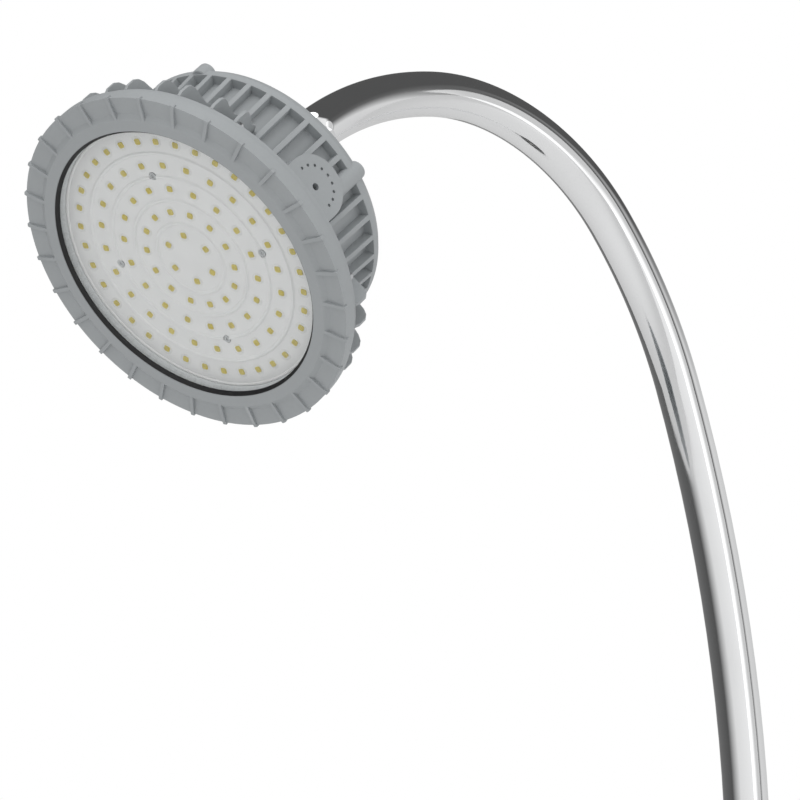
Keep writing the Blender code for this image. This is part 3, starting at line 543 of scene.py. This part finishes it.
def addCamera():
    data = bpy.data.cameras.new("viewCamera")
    data.lens, data.sensor_width = view["lens"], 36.0
    data.clip_start, data.clip_end = 0.05, 60.0
    camera = bpy.data.objects.new("viewCamera", data)
    scene.collection.objects.link(camera)
    back = Vector(view["back"]).normalized()
    right = Vector(view["right"]).normalized()
    matrix = Matrix((right, back.cross(right), back)).transposed().to_4x4()
    camera.matrix_world = Matrix.Translation(view["place"]) @ matrix
    scene.camera = camera


lamps = {"keySoft": {"from": (-2.4, -1.2, 3.4), "size": 2.2, "power": 26.0},
         "fillSoft": {"from": (1.2, -3.6, 1.6), "size": 3.0, "power": 12.0}}
# greys met by bearing, from behind the lamp round its left, the viewer and its right
room = {"even": 0.8, "ceiling": 0.09, "ceilingLow": 0.42, "ceilingHigh": 0.56,
        "bands": ((0.0, 0.30), (0.10, 0.16), (0.30, 0.09), (0.36, 0.45), (0.42, 0.80), (0.62, 0.95),
                  (0.672, 0.12), (0.72, 0.12), (0.76, 0.75), (1.0, 0.60))}


def addLights():
    for name, lamp in lamps.items():
        data = bpy.data.lights.new(name, "AREA")
        data.shape, data.size, data.energy = "DISK", lamp["size"], lamp["power"]
        holder = bpy.data.objects.new(name, data)
        holder.location = lamp["from"]
        aim = Vector((-0.3, 0.0, 1.1)) - Vector(lamp["from"])
        holder.rotation_euler = aim.to_track_quat("-Z", "Y").to_euler()
        scene.collection.objects.link(holder)
    world = bpy.data.worlds.new("studio")
    scene.world = world
    world.use_nodes = True
    tree = world.node_tree
    lit = tree.nodes["Background"]
    lit.inputs["Strength"].default_value = room["even"]
    # polished metal reflects dark walls, a bright opening behind the viewer and a dark ceiling
    heading = tree.nodes.new("ShaderNodeTexCoord").outputs["Generated"]
    parts = []
    for axis in (view["right"], view["toViewer"], (0.0, 0.0, 1.0)):
        part = tree.nodes.new("ShaderNodeVectorMath")
        part.operation = "DOT_PRODUCT"
        part.inputs[1].default_value = axis
        tree.links.new(heading, part.inputs[0])
        parts.append(part.outputs["Value"])
    bearing = addMath(tree, "MULTIPLY_ADD", addMath(tree, "ARCTAN2", parts[0], parts[1]), 0.5 / math.pi, 0.5)
    bands = tree.nodes.new("ShaderNodeValToRGB")
    while len(bands.color_ramp.elements) < len(room["bands"]):
        bands.color_ramp.elements.new(0.5)
    for stop, (spot, grey) in zip(bands.color_ramp.elements, room["bands"]):
        stop.position, stop.color = spot, (grey, grey, grey, 1.0)
    tree.links.new(bearing, bands.inputs["Fac"])
    lift = addRange(tree, parts[2], room["ceilingLow"], room["ceilingHigh"], 0.0, 1.0)
    wallsAndCeiling = mixColours(tree, lift, bands.outputs["Color"], (room["ceiling"],) * 3)
    mirrored = tree.nodes.new("ShaderNodeBackground")
    tree.links.new(wallsAndCeiling, mirrored.inputs["Color"])
    seen = tree.nodes.new("ShaderNodeBackground")
    rays = tree.nodes.new("ShaderNodeLightPath")
    shine = tree.nodes.new("ShaderNodeMixShader")
    tree.links.new(rays.outputs["Is Glossy Ray"], shine.inputs[0])
    tree.links.new(lit.outputs[0], shine.inputs[1])
    tree.links.new(mirrored.outputs[0], shine.inputs[2])
    mix = tree.nodes.new("ShaderNodeMixShader")
    tree.links.new(rays.outputs["Is Camera Ray"], mix.inputs[0])
    tree.links.new(shine.outputs[0], mix.inputs[1])
    tree.links.new(seen.outputs[0], mix.inputs[2])
    tree.links.new(mix.outputs[0], tree.nodes["World Output"].inputs[0])
    lit.inputs["Color"].default_value = seen.inputs["Color"].default_value = (1.0, 1.0, 1.0, 1.0)


def addFloor():
    work = bmesh.new()
    bmesh.ops.create_grid(work, x_segments=1, y_segments=1, size=12.0)
    floor = bpy.data.objects.new("floor", toMesh(work, "floor"))
    paint = bpy.data.materials.new("pale_floor")
    paint.use_nodes = True
    shader = paint.node_tree.nodes["Principled BSDF"]
    shader.inputs["Base Color"].default_value = (0.84, 0.84, 0.84, 1.0)
    shader.inputs["Roughness"].default_value = 0.7
    floor.data.materials.append(paint)
    scene.collection.objects.link(floor)


addCamera()
addLights()
addFloor()
scene.view_settings.view_transform = "Standard"
print("stage set")


# bezel
bezel = {"opening": 120.4, "flatEdge": 130.0, "recessStart": 134.2, "recessTop": -2.8, "rim": 149.0,
         "recess": -2.0,
         "depth": 13.8, "innerWall": 133.3, "ribs": 30, "firstRib": -89.5, "ribWidth": 3.2, "ribTip": 150.3,
         "ribDrop": 0.9, "ribDepth": 7.0}


def buildBezel():
    b = bezel
    ring = spun([(b["opening"], -2.5), (b["opening"], 0), (b["flatEdge"], 0),
                 (b["recessStart"], b["recessTop"]),
                 (b["rim"], b["recess"]), (b["rim"], -b["depth"]), (b["innerWall"], -b["depth"]),
                 (b["innerWall"], -4.7), (127.7, -4.7), (127.7, -2.5)], 180, closed=True)
    soften(ring, 0.5, 2, 20)
    rib = slab([(b["flatEdge"] - 0.6, -0.25), (b["rim"] - 2.0, -0.3), (b["ribTip"], -b["ribDrop"]),
                (b["ribTip"], -b["ribDepth"] + 3.0), (b["rim"] - 1.2, -b["ribDepth"]),
                (b["flatEdge"] + 1.0, -4.4)],
               b["ribWidth"])
    soften(rib, 0.35, 2, 30)
    turns = [turnZ(b["firstRib"] + 360 / b["ribs"] * step) for step in range(b["ribs"])]
    whole = combined(ring, laidOut(rib, turns), "UNION")
    addPiece("bezel", whole, "grey_paint", "head", ["bezel_ring"], headPlace, crease=34)


# gasket, glass, plate and chips
chips = {"rings": ((21.0, 6), (42.0, 14), (63.0, 18), (84.0, 24), (105.0, 36)), "first": -147.47, "side": 5.0,
         "height": 0.6, "domeRadius": 5.2, "domeHeight": 2.4}
plate = {"front": -13.7, "back": -16.2, "radius": 117.6, "ridges": (31.5, 52.5, 73.5, 94.5),
         "ridgeHeight": 1.1,
         "ridgeHalf": 1.7, "screwCircle": 74.4, "firstScrew": -17.3, "knurls": 120}


def buildOptics():
    gasket = spun([(120.0, -0.5), (120.35, -0.35), (120.35, -2.8), (127.3, -2.8), (127.3, -4.0),
                   (117.9, -4.0),
                   (117.9, -3.4)], 128, closed=True)
    addPiece("gasket", soften(gasket, 0.25), "black_rubber", "head", ["lens_gasket"], headPlace)

    pane = soften(spun([(0, -4.3), (127.3, -4.3), (127.3, -7.3), (0, -7.3)], 128), 0.4)
    addPiece("pane", pane, "glass", "head", ["front_glass"], headPlace)

    spacer = spun([(118.0, -12.4), (121.2, -7.7), (127.6, -7.6), (127.6, -18.0), (118.0, -18.0)], 128,
                  closed=True)
    soften(spacer, 0.3)
    ribShape = slab([(117.75, -12.3), (120.9, -7.65), (122.4, -7.65), (122.4, -17.9), (117.75, -17.9)], 2.2)
    knurlTurns = [turnZ(360 / plate["knurls"] * step) for step in range(plate["knurls"])]
    ribs = laidOut(soften(ribShape, 0.3, 1), knurlTurns)
    # the spacer's finish carries painted light against the shade under the bezel lip
    addPiece("knurled_spacer", joined(spacer, ribs), "knurl_grey_painted_light", "head", ["spacer_ring"], headPlace)

    top, half, rise = plate["front"], plate["ridgeHalf"], plate["ridgeHeight"]
    outline = [(0, top)]
    for radius in plate["ridges"]:
        outline += [(radius - half, top), (radius - half * 0.4, top + rise),
                    (radius + half * 0.4, top + rise),
                    (radius + half, top)]
    outline += [(115.6, top), (116.2, top + 1.0), (plate["radius"], top + 1.0),
                (plate["radius"], plate["back"]),
                (0, plate["back"])]
    disc = soften(spun(outline, 128), 0.15, 1)
    screwAngles = [plate["firstScrew"] + 90 * step for step in range(4)]
    wells = laidOut(rod(3.6, top - 1.0, top + 3.0, 24), around(plate["screwCircle"], screwAngles))
    bores = laidOut(rod(2.3, top - 4.0, top + 3.0, 16), around(plate["screwCircle"], screwAngles))
    disc = combined(combined(disc, wells), bores)
    addPiece("chip_plate", disc, "white_plate", "head", ["optic_plate"], headPlace)

    screws = laidOut(capScrew(2.0, 3.0, 1.2, 6.5, 1.4), around(plate["screwCircle"], screwAngles, top - 0.9))
    addPiece("plate_screws", screws, "steel", "head", [f"board_screw_{n}" for n in range(1, 5)], headPlace)

    places = [turnZ(chips["first"] + 360 / count * step) @ shift(radius, 0, top)
              for radius, count in chips["rings"] for step in range(count)]
    half = chips["side"] / 2
    chip = block((-half, -half, 0.0), (half, half, chips["height"]))
    upright = [edge for edge in chip.edges if abs(edge.verts[0].co.z - edge.verts[1].co.z) > 0.1]
    bmesh.ops.bevel(chip, geom=upright, offset=1.2, offset_type="OFFSET", segments=2, profile=0.5,
                    affect="EDGES",
                    material=-1)
    addPiece("chips", laidOut(chip, places), "phosphor", "head", (), headPlace)

    dome = bmesh.new()
    bmesh.ops.create_uvsphere(dome, u_segments=16, v_segments=10, radius=1.0)
    bmesh.ops.bisect_plane(dome, geom=dome.verts[:] + dome.edges[:] + dome.faces[:], plane_co=(0, 0, 0.0),
                           plane_no=(0, 0, 1), clear_inner=True)
    placed(dome, shift(0, 0, 0.05) @ Matrix.Diagonal((chips["domeRadius"], chips["domeRadius"],
                                                      chips["domeHeight"], 1)))
    bmesh.ops.edgeloop_fill(dome, edges=[edge for edge in dome.edges if edge.is_boundary])
    addPiece("chip_domes", laidOut(dome, places), "dome", "head", (), headPlace)


# finned housing
drum = {"rimTop": -5.0, "floorFront": -18.4, "floorBack": -23.7, "flangeFront": -14.1, "flangeBack": -21.1,
        "flange": 146.0, "wallFront": 107.5, "wallBack": 109.5, "ringFront": -93.7, "ringFull": -100.0,
        "ringBack": -107.4, "ring": 117.8, "ringEnd": 113.2, "seat": 98.3, "shelfBack": -96.2,
        "shelfFront": -89.2,
        "shelf": 86.0, "bore": 101.0, "fins": 40, "firstFin": 0.0, "finWidth": 4.6, "finFront": 112.8,
        "finBack": 117.8}
tooth = {"pairTurns": (-14.6, -34.6, -54.6, -133.6, -153.4, -173.4, 5.4, 25.4, 45.4, 65.4, 114.6, 134.6,
                       154.6),
         "halfSpread": 4.2, "width": 2.8,
         "outline": ((108, -20), (146.2, -20), (148.0, -24), (148.0, -32.5), (145.8, -37), (141.5, -41),
                     (135, -44.5), (128, -48.5), (121, -53), (115, -60), (108, -60))}
lug = {"angles": (-21, -99, 159, 81), "lengths": (13.0, 41.0, 13.0, 41.0), "centre": 113.3, "radius": 7.8}
pad = {"half": 26.5, "middle": -3.6, "centre": -51.9, "face": 121.0, "hole": 3.0, "dimples": 9,
       "dimpleCircle": 17.6,
       "dimple": 1.35}


def buildHousing():
    d = drum
    shell = spun([(0, d["floorFront"]), (128.0, d["floorFront"]), (128.0, d["rimTop"]), (133.0, d["rimTop"]),
                  (133.0, d["flangeFront"]), (d["flange"], d["flangeFront"]), (d["flange"], d["flangeBack"]),
                  (d["wallFront"], d["flangeBack"]), (d["wallBack"], d["ringFront"]),
                  (d["ring"], d["ringFront"]),
                  (d["ring"], d["ringFull"]), (d["ringEnd"], d["ringBack"]), (d["seat"], d["ringBack"]),
                  (d["seat"], d["shelfBack"]), (d["shelf"], d["shelfBack"]), (d["shelf"], d["shelfFront"]),
                  (d["bore"], d["shelfFront"]), (d["bore"], d["floorBack"]), (0, d["floorBack"])], 160)
    soften(shell, 0.8, 2, 20)
    fin = slab([(100.0, d["flangeBack"] + 2), (d["finFront"], d["flangeBack"] + 2),
                (d["finBack"], d["ringFront"] - 3),
                (102.0, d["ringFront"] - 3)], d["finWidth"])
    soften(fin, 0.7, 2, 30)
    finTurns = [turnZ(d["firstFin"] + 360 / d["fins"] * step) for step in range(d["fins"])]
    gusset = soften(slab(tooth["outline"], tooth["width"]), 0.6, 2, 40)
    toothTurns = [turnZ(turn + side * tooth["halfSpread"]) for turn in tooth["pairTurns"] for side in (-1, 1)]
    body = combined(shell, laidOut(fin, finTurns), "UNION")
    body = combined(body, laidOut(gusset, toothTurns), "UNION")

    for angle, length in zip(lug["angles"], lug["lengths"]):
        column = soften(rod(lug["radius"], d["ringBack"] + 0.4, d["ringBack"] + length, 40), 1.6, 3)
        body = combined(body, laidOut(column, around(lug["centre"], (angle,))), "UNION")
    for side in (-1, 1):
        faceTurn = Matrix.Rotation(math.radians(90 * side), 4, "X")
        low, high = sorted((side * 98.0, side * pad["face"]))
        straight = block((pad["middle"] - pad["half"], low, pad["centre"]),
                         (pad["middle"] + pad["half"], high, d["flangeBack"] + 2))
        tip = placed(rod(pad["half"], min(low * side, high * side), max(low * side, high * side), 64),
                     shift(pad["middle"], 0, pad["centre"]) @ Matrix.Rotation(math.radians(-90 * side), 4,
                                                                              "X"))
        cheek = combined(straight, tip, "UNION")
        bmesh.ops.remove_doubles(cheek, verts=cheek.verts, dist=0.01)
        body = combined(body, cheek, "UNION")
        faceMiddle = shift(pad["middle"], side * pad["face"], pad["centre"])
        dots = [placed(rod(pad["hole"], -12, 12, 24), faceMiddle @ faceTurn)]
        for step in range(pad["dimples"]):
            angle = math.radians(180 / (pad["dimples"] - 1) * step)
            spot = shift(pad["dimpleCircle"] * math.cos(angle), 0, -pad["dimpleCircle"] * math.sin(angle))
            dots.append(placed(rod(pad["dimple"], -2.0, 2.0, 14), faceMiddle @ spot @ faceTurn))
        body = combined(body, joined(*dots))
    taps = laidOut(rod(2.8, d["shelfBack"] - 1, d["shelfFront"] + 1, 16), around(92.0, (45, 135, 225, 315)))
    body = combined(body, taps)
    addPiece("cooling_housing", body, "grey_paint", "head", ["heatsink_housing"], headPlace, crease=30)


buildBezel()
print("bezel built")
buildOptics()
print("optics built")
buildHousing()
print("housing built")


# rear cover, switch and its screws
rear = {"front": -97.8, "rimBack": -107.4, "back": -117.4, "radius": 98.0, "dome": 84.0, "flat": 74.5,
        "pocket": 78.0,
        "pocketTop": -106.8, "screwCircle": 92.0, "screwAngles": (45, 135, 225, 315), "switch": -60.0}


def buildRear():
    r = rear
    seal = spun([(95.3, -96.5), (97.7, -96.5), (97.7, -97.5), (95.3, -97.5)], 128, closed=True)
    addPiece("rear_seal", soften(seal, 0.2), "black_rubber", "head", ["rear_gasket"], headPlace)
    outline = [(0, r["pocketTop"]), (r["pocket"], r["pocketTop"]), (r["pocket"], r["front"]),
               (r["radius"], r["front"]), (r["radius"], r["rimBack"]), (r["dome"], r["rimBack"]),
               (r["flat"], r["back"]), (68.0, r["back"]), (67.2, r["back"] + 0.8), (64.8, r["back"] + 0.8),
               (64.0, r["back"]), (0, r["back"])]
    cover = soften(spun(outline, 128), 0.6, 2, 15)
    screwSpots = around(r["screwCircle"], r["screwAngles"])
    cover = combined(cover, laidOut(rod(2.8, -110, -96, 20), screwSpots))
    cover = combined(cover, placed(rod(11.3, -120, -100, 40), shift(r["switch"], 0, 0)))
    addPiece("back_plate", mended(cover), "grey_paint", "head", ["rear_cover"], headPlace, crease=30)
    flip = Matrix.Rotation(math.pi, 4, "X")
    heads = laidOut(capScrew(2.5, 4.75, 4.0, 16, 2.2),
                    [place @ shift(0, 0, r["rimBack"] - 0.3) @ flip for place in screwSpots])
    addPiece("cover_screws", heads, "steel", "head", [f"cover_screw_{n}" for n in range(1, 5)], headPlace)

    lip = r["back"] - 0.3
    body = spun([(0, lip + 13.3), (11.0, lip + 13.3), (11.0, lip), (14.0, lip), (14.0, lip - 2.4),
                 (7.3, lip - 2.4),
                 (7.3, lip + 11.3), (0, lip + 11.3)], 64)
    addPiece("switch_collar", placed(soften(body, 0.4), shift(r["switch"], 0, 0)), "black_plastic", "head",
             ["switch_body"], headPlace)
    cap = spun([(0, lip + 7.3), (7.0, lip + 7.3), (7.0, lip - 5.9), (5.6, lip - 5.9), (3.2, lip - 5.4),
                (0, lip - 5.2)], 64)
    addPiece("switch_cap", placed(soften(cap, 0.35, 3), shift(r["switch"], 0, 0)), "black_plastic",
             "power_button",
             ["power_button"], headPlace)


# tilt knuckle
knuckle = {"reach": 46.6, "footRadius": 30.0, "foot": 5.7, "half": 18.4, "slot": 10.4, "radius": 16.0,
           "pin": 5.0}


def buildKnuckle():
    k = knuckle
    footLow = k["reach"] - k["foot"]
    foot = rod(k["footRadius"], footLow, k["reach"], 72)
    body = block((-k["radius"], -k["half"], 0), (k["radius"], k["half"], footLow + 1))
    eye = placed(rod(k["radius"], -k["half"], k["half"], 64), Matrix.Rotation(math.radians(90), 4, "X"))
    cheeks = combined(body, eye, "UNION")
    cheeks = combined(cheeks, block((-40, -k["slot"], -40), (40, k["slot"], footLow - 8)))
    cheeks = combined(cheeks, placed(rod(k["pin"] + 0.3, -40, 40, 32),
                                     Matrix.Rotation(math.radians(90), 4, "X")))
    whole = combined(foot, cheeks, "UNION")
    bmesh.ops.remove_doubles(whole, verts=whole.verts, dist=0.01)
    bmesh.ops.dissolve_limit(whole, angle_limit=math.radians(1), verts=whole.verts, edges=whole.edges)
    soften(whole, 0.8, 2, 40)
    addPiece("tilt_fork", whole, "grey_paint", "head", ["pivot_fork"], forkPlace, crease=30)
    flip = Matrix.Rotation(math.pi, 4, "X")
    spots = [(24.5, 0), (0, 24.5), (-24.5, 0), (0, -24.5)]
    heads = laidOut(capScrew(2.0, 3.8, 3.2, 10, 1.7), [shift(x, y, footLow - 0.3) @ flip for x, y in spots])
    addPiece("fork_screws", heads, "steel", "head", [f"fork_screw_{n}" for n in range(1, 5)], forkPlace)

    aside = Matrix.Rotation(math.radians(90), 4, "X")
    for name, node, side in (("washer_near", "friction_washer_near", -1),
                             ("washer_far", "friction_washer_far", 1)):
        flat = spun([(5.3, -0.5), (13.0, -0.5), (13.0, 0.5), (5.3, 0.5)], 48, closed=True)
        addPiece(name, placed(soften(flat, 0.15), shift(0, side * 9.6, 0) @ aside), "nylon", "head", [node],
                 forkPlace)
    # the bolt's head is on the near side, and its thread carries the hand knob
    bolt = capScrew(k["pin"], 9.0, 5.0, 48.9, 4.0)
    addPiece("tilt_bolt", placed(bolt, shift(0, -k["half"] - 0.3, 0) @ aside), "steel", "head",
             ["pivot_bolt"],
             forkPlace)
    knob = combined(starKnob(12.5, 5.0, 5, 20.0), rod(k["pin"] + 0.3, -1, 12.0, 32))
    addPiece("tilt_hand_knob", placed(knob, shift(0, k["half"] + 0.3, 0) @ Matrix.Rotation(math.radians(-90),
                                                                                           4, "X")),
             "black_plastic", "tilt_knob", ["tilt_knob"], forkPlace)


# arched tube
tube = {"radius": 19.0, "wall": 2.0, "foot": 45.2, "straight": 971.0, "lead": 40.5, "gap": 24.3,
        "bends": ((18.8, 1238.0), (21.1, 416.0), (65.8, 195.0), (27.4, 290.0)), "step": 1.5}


def buildTube():
    work = bmesh.new()
    bmesh.ops.create_circle(work, segments=72, radius=tube["radius"], matrix=shift(0, 0, tube["foot"]))
    ends = work.edges[:]

    def pushed(edges, vec):
        grown = bmesh.ops.extrude_edge_only(work, edges=edges)["geom"]
        bmesh.ops.translate(work, verts=[g for g in grown if isinstance(g, bmesh.types.BMVert)], vec=vec)
        return [g for g in grown if isinstance(g, bmesh.types.BMEdge) and g.is_boundary]

    ends = pushed(ends, (0, 0, tube["straight"] - tube["foot"]))
    spot, heading = Vector((0, 0, tube["straight"])), math.pi / 2
    for turn, radius in tube["bends"]:
        centre = spot + radius * Vector((-math.sin(heading), 0, math.cos(heading)))
        verts = list({vert for edge in ends for vert in edge.verts})
        swept = bmesh.ops.spin(work, geom=verts + ends, cent=centre, axis=(0, -1, 0),
                               angle=math.radians(turn),
                               steps=max(4, round(turn / tube["step"])))
        ends = [g for g in swept["geom_last"] if isinstance(g, bmesh.types.BMEdge)]
        heading += math.radians(turn)
        spot = centre + radius * Vector((math.sin(heading), 0, -math.cos(heading)))
    along = Vector((math.cos(heading), 0, math.sin(heading)))
    pushed(ends, along * (tube["lead"] - tube["gap"]))
    bmesh.ops.recalc_face_normals(work, faces=work.faces)
    piece = addPiece("bent_tube", work, "chrome", "arch", ["arched_tube"])
    wall = piece.modifiers.new("wall", "SOLIDIFY")
    wall.thickness, wall.offset = tube["wall"] / 1000, -1
    print("tube ends", (spot + along * tube["lead"]) / 1000, "pivot", pivot)
    return along


def buildTongue(along):
    intoTube = -along
    fitting = axesAt(intoTube, Vector((0, 1, 0)), intoTube.cross(Vector((0, 1, 0))), pivot)
    crosswise = Matrix.Rotation(math.radians(90), 4, "X")
    lengthwise = Matrix.Rotation(math.radians(90), 4, "Y")
    eye = placed(rod(14.0, -8.5, 8.5, 64), crosswise)
    blade = combined(eye, block((0, -8.5, -14), (21, 8.5, 14)), "UNION")
    blade = combined(blade, placed(rod(5.3, -30, 30, 32), crosswise))
    bmesh.ops.remove_doubles(blade, verts=blade.verts, dist=0.01)
    soften(blade, 0.8, 2, 40)
    plug = spun([(0, 20), (18.4, 20), (19.0, 20.6), (19.0, 24.0), (16.4, 24.0), (16.4, 38.5), (15.0, 40.0),
                 (0, 40.0)], 72)
    whole = combined(blade, placed(soften(plug, 0.3), lengthwise), "UNION")
    addPiece("tube_tongue", whole, "chrome", "arch", ["tilt_tongue"], fitting, crease=30)


buildRear()
buildKnuckle()
buildTongue(buildTube())
print("rear, knuckle and tube built")


# base
base = {"radius": 199.0, "cover": 1.5, "socketRadius": 27.0, "flange": 45.5, "socketFoot": 27.6,
        "socketTop": 147.6,
        "bore": 20.8, "boreFloor": 41.6, "screwCircle": 36.25, "clampHeight": 107.6, "glandHeight": 13.3}


# where the clamp knob's screw passes through the socket and its bush
def clampHole():
    return placed(rod(4.3, 10, 40, 24), shift(0, 0, base["clampHeight"]) @ Matrix.Rotation(math.pi / 2, 4,
                                                                                           "Y"))


def buildBase():
    radius = base["radius"]
    grooves = [(190 - 22 * step, 190 - 22 * step - 8) for step in range(6)]
    outline = [(0, 3.0), (radius - 1, 3.0), (radius - 1, 0.6), (radius - 2, 0)]
    for outer, inner in grooves:
        outline += [(outer, 0), (outer - 1, 1.2), (inner + 1, 1.2), (inner, 0)]
    mat = soften(spun(outline + [(0, 0)], 128), 0.3, 1, 30)
    addPiece("floor_mat", mat, "black_rubber", "base", ["base_mat"])

    curve = [(46.0, 33.1), (60, 33.05), (80, 32.8), (100, 32.3), (125, 31.5), (150, 30.5), (175, 29.6),
             (190, 29.15)]
    roll = [(193 + 6 * math.cos(math.radians(a)), 23.1 + 6 * math.sin(math.radians(a))) for a in (90, 72, 54,
                                                                                                  36, 18, 0)]
    outer = curve + roll + [(radius, 3.3)]
    inner = [(197.5, 3.3)] + [(193 + 4.5 * math.cos(math.radians(a)), 23.1 + 4.5 * math.sin(math.radians(a)))
                              for a in (0, 22, 45, 68, 90)] + [(r, z - base["cover"]) for r,
                                                               z in reversed(curve)]
    dish = spun(outer + inner, 180, closed=True)
    hole = placed(rod(8.3, -15, 15, 40), shift(radius, 0, base["glandHeight"]) @ Matrix.Rotation(math.pi / 2,
                                                                                                 4, "Y"))
    addPiece("base_dish", combined(dish, hole), "spun_chrome", "base", ["base_cover"],
             crease=30)

    foot, top = base["socketFoot"], base["socketTop"]
    fillet = [(base["socketRadius"] + 5 - 5 * math.sin(math.radians(a)),
               foot + 13 - 5 * math.cos(math.radians(a)))
              for a in (0, 18, 36, 54, 72, 90)]
    profile = [(0, base["boreFloor"]), (base["bore"], base["boreFloor"]), (base["bore"], top),
               (base["socketRadius"] - 1.2, top),
               (base["socketRadius"], top - 1.2), (base["socketRadius"], top - 8), (26.2, top - 8.8),
               (26.2, top - 10.2),
               (base["socketRadius"], top - 11)] + list(reversed(fillet)) + \
              [(base["flange"] - 1.2, foot + 8), (base["flange"], foot + 6.8), (base["flange"], foot),
               (0, foot)]
    socket = spun(profile, 96)
    screwAngles = (60, 180, 300)
    socket = combined(socket, laidOut(rod(3.3, foot - 2, foot + 20, 24),
                                      around(base["screwCircle"], screwAngles)))
    seats = laidOut(rod(5.7, foot + 7.8, foot + 20, 30), around(base["screwCircle"], screwAngles))
    socket = combined(socket, seats)
    addPiece("socket", mended(combined(socket, clampHole())), "chrome", "base", ["stem_socket"], crease=30)
    heads = laidOut(capScrew(3.0, 5.5, 4.8, 20, 2.5), around(base["screwCircle"], screwAngles, foot + 8.3))
    addPiece("socket_screws", heads, "steel", "base", [f"socket_screw_{n}" for n in (1, 2, 3)])

    bush = spun([(19.3, 150.9), (26.0, 150.9), (26.0, 147.9), (20.5, 147.9), (20.5, 45.2), (19.3, 45.2)], 96,
                closed=True)
    soften(bush, 0.3)
    addPiece("stem_bush", combined(bush, clampHole()), "nylon", "base", ["swivel_bush"])

    sideways = Matrix.Rotation(math.pi / 2, 4, "Y")
    gland = spun([(4.5, 0), (7.6, 0), (8.0, 0.5)] + [(r, z) for step in range(8) for r, z in
                 ((8.0, 4.8 + step * 1.5), (7.3, 5.5 + step * 1.5))] +
                 [(8.0, 17.2), (8.0, 22.6), (6.6, 25.0), (4.5, 25.0)], 48, closed=True)
    height = base["glandHeight"]
    addPiece("lead_gland", placed(gland, shift(196.0, 0, height) @ sideways), "black_plastic", "base",
             ["inlet_gland"])
    nut = combined(soften(rod(10.8, 0, 6, 6), 0.5, 2, 30), rod(8.3, -2, 8, 40))
    addPiece("lead_nut", placed(nut, shift(199.3, 0, height) @ sideways), "black_plastic", "base",
             ["gland_nut"],
             crease=30)

    knob = joined(placed(starKnob(11.5, 5.0, 5, 22.0), shift(0, 0, 31)), rod(4.0, 19.4, 32, 24))
    addPiece("clamp_hand_knob", placed(knob, shift(0, 0, base["clampHeight"]) @ sideways), "black_plastic",
             "clamp_knob", ["clamp_knob"])


buildBase()
print("base built")

# CAD pieces that stay as they are get their own finish
for name, node in frame["nodes"].items():
    if not node.hide_render:
        kind = {"led_driver": "black_plastic", "thrust_washer": "nylon", "base_weight": "cast_iron",
                "led_board": "board"}.get(name, "steel")
        node.data.materials.clear()
        node.data.materials.append(finishes[kind])
        print("kept", name, kind)
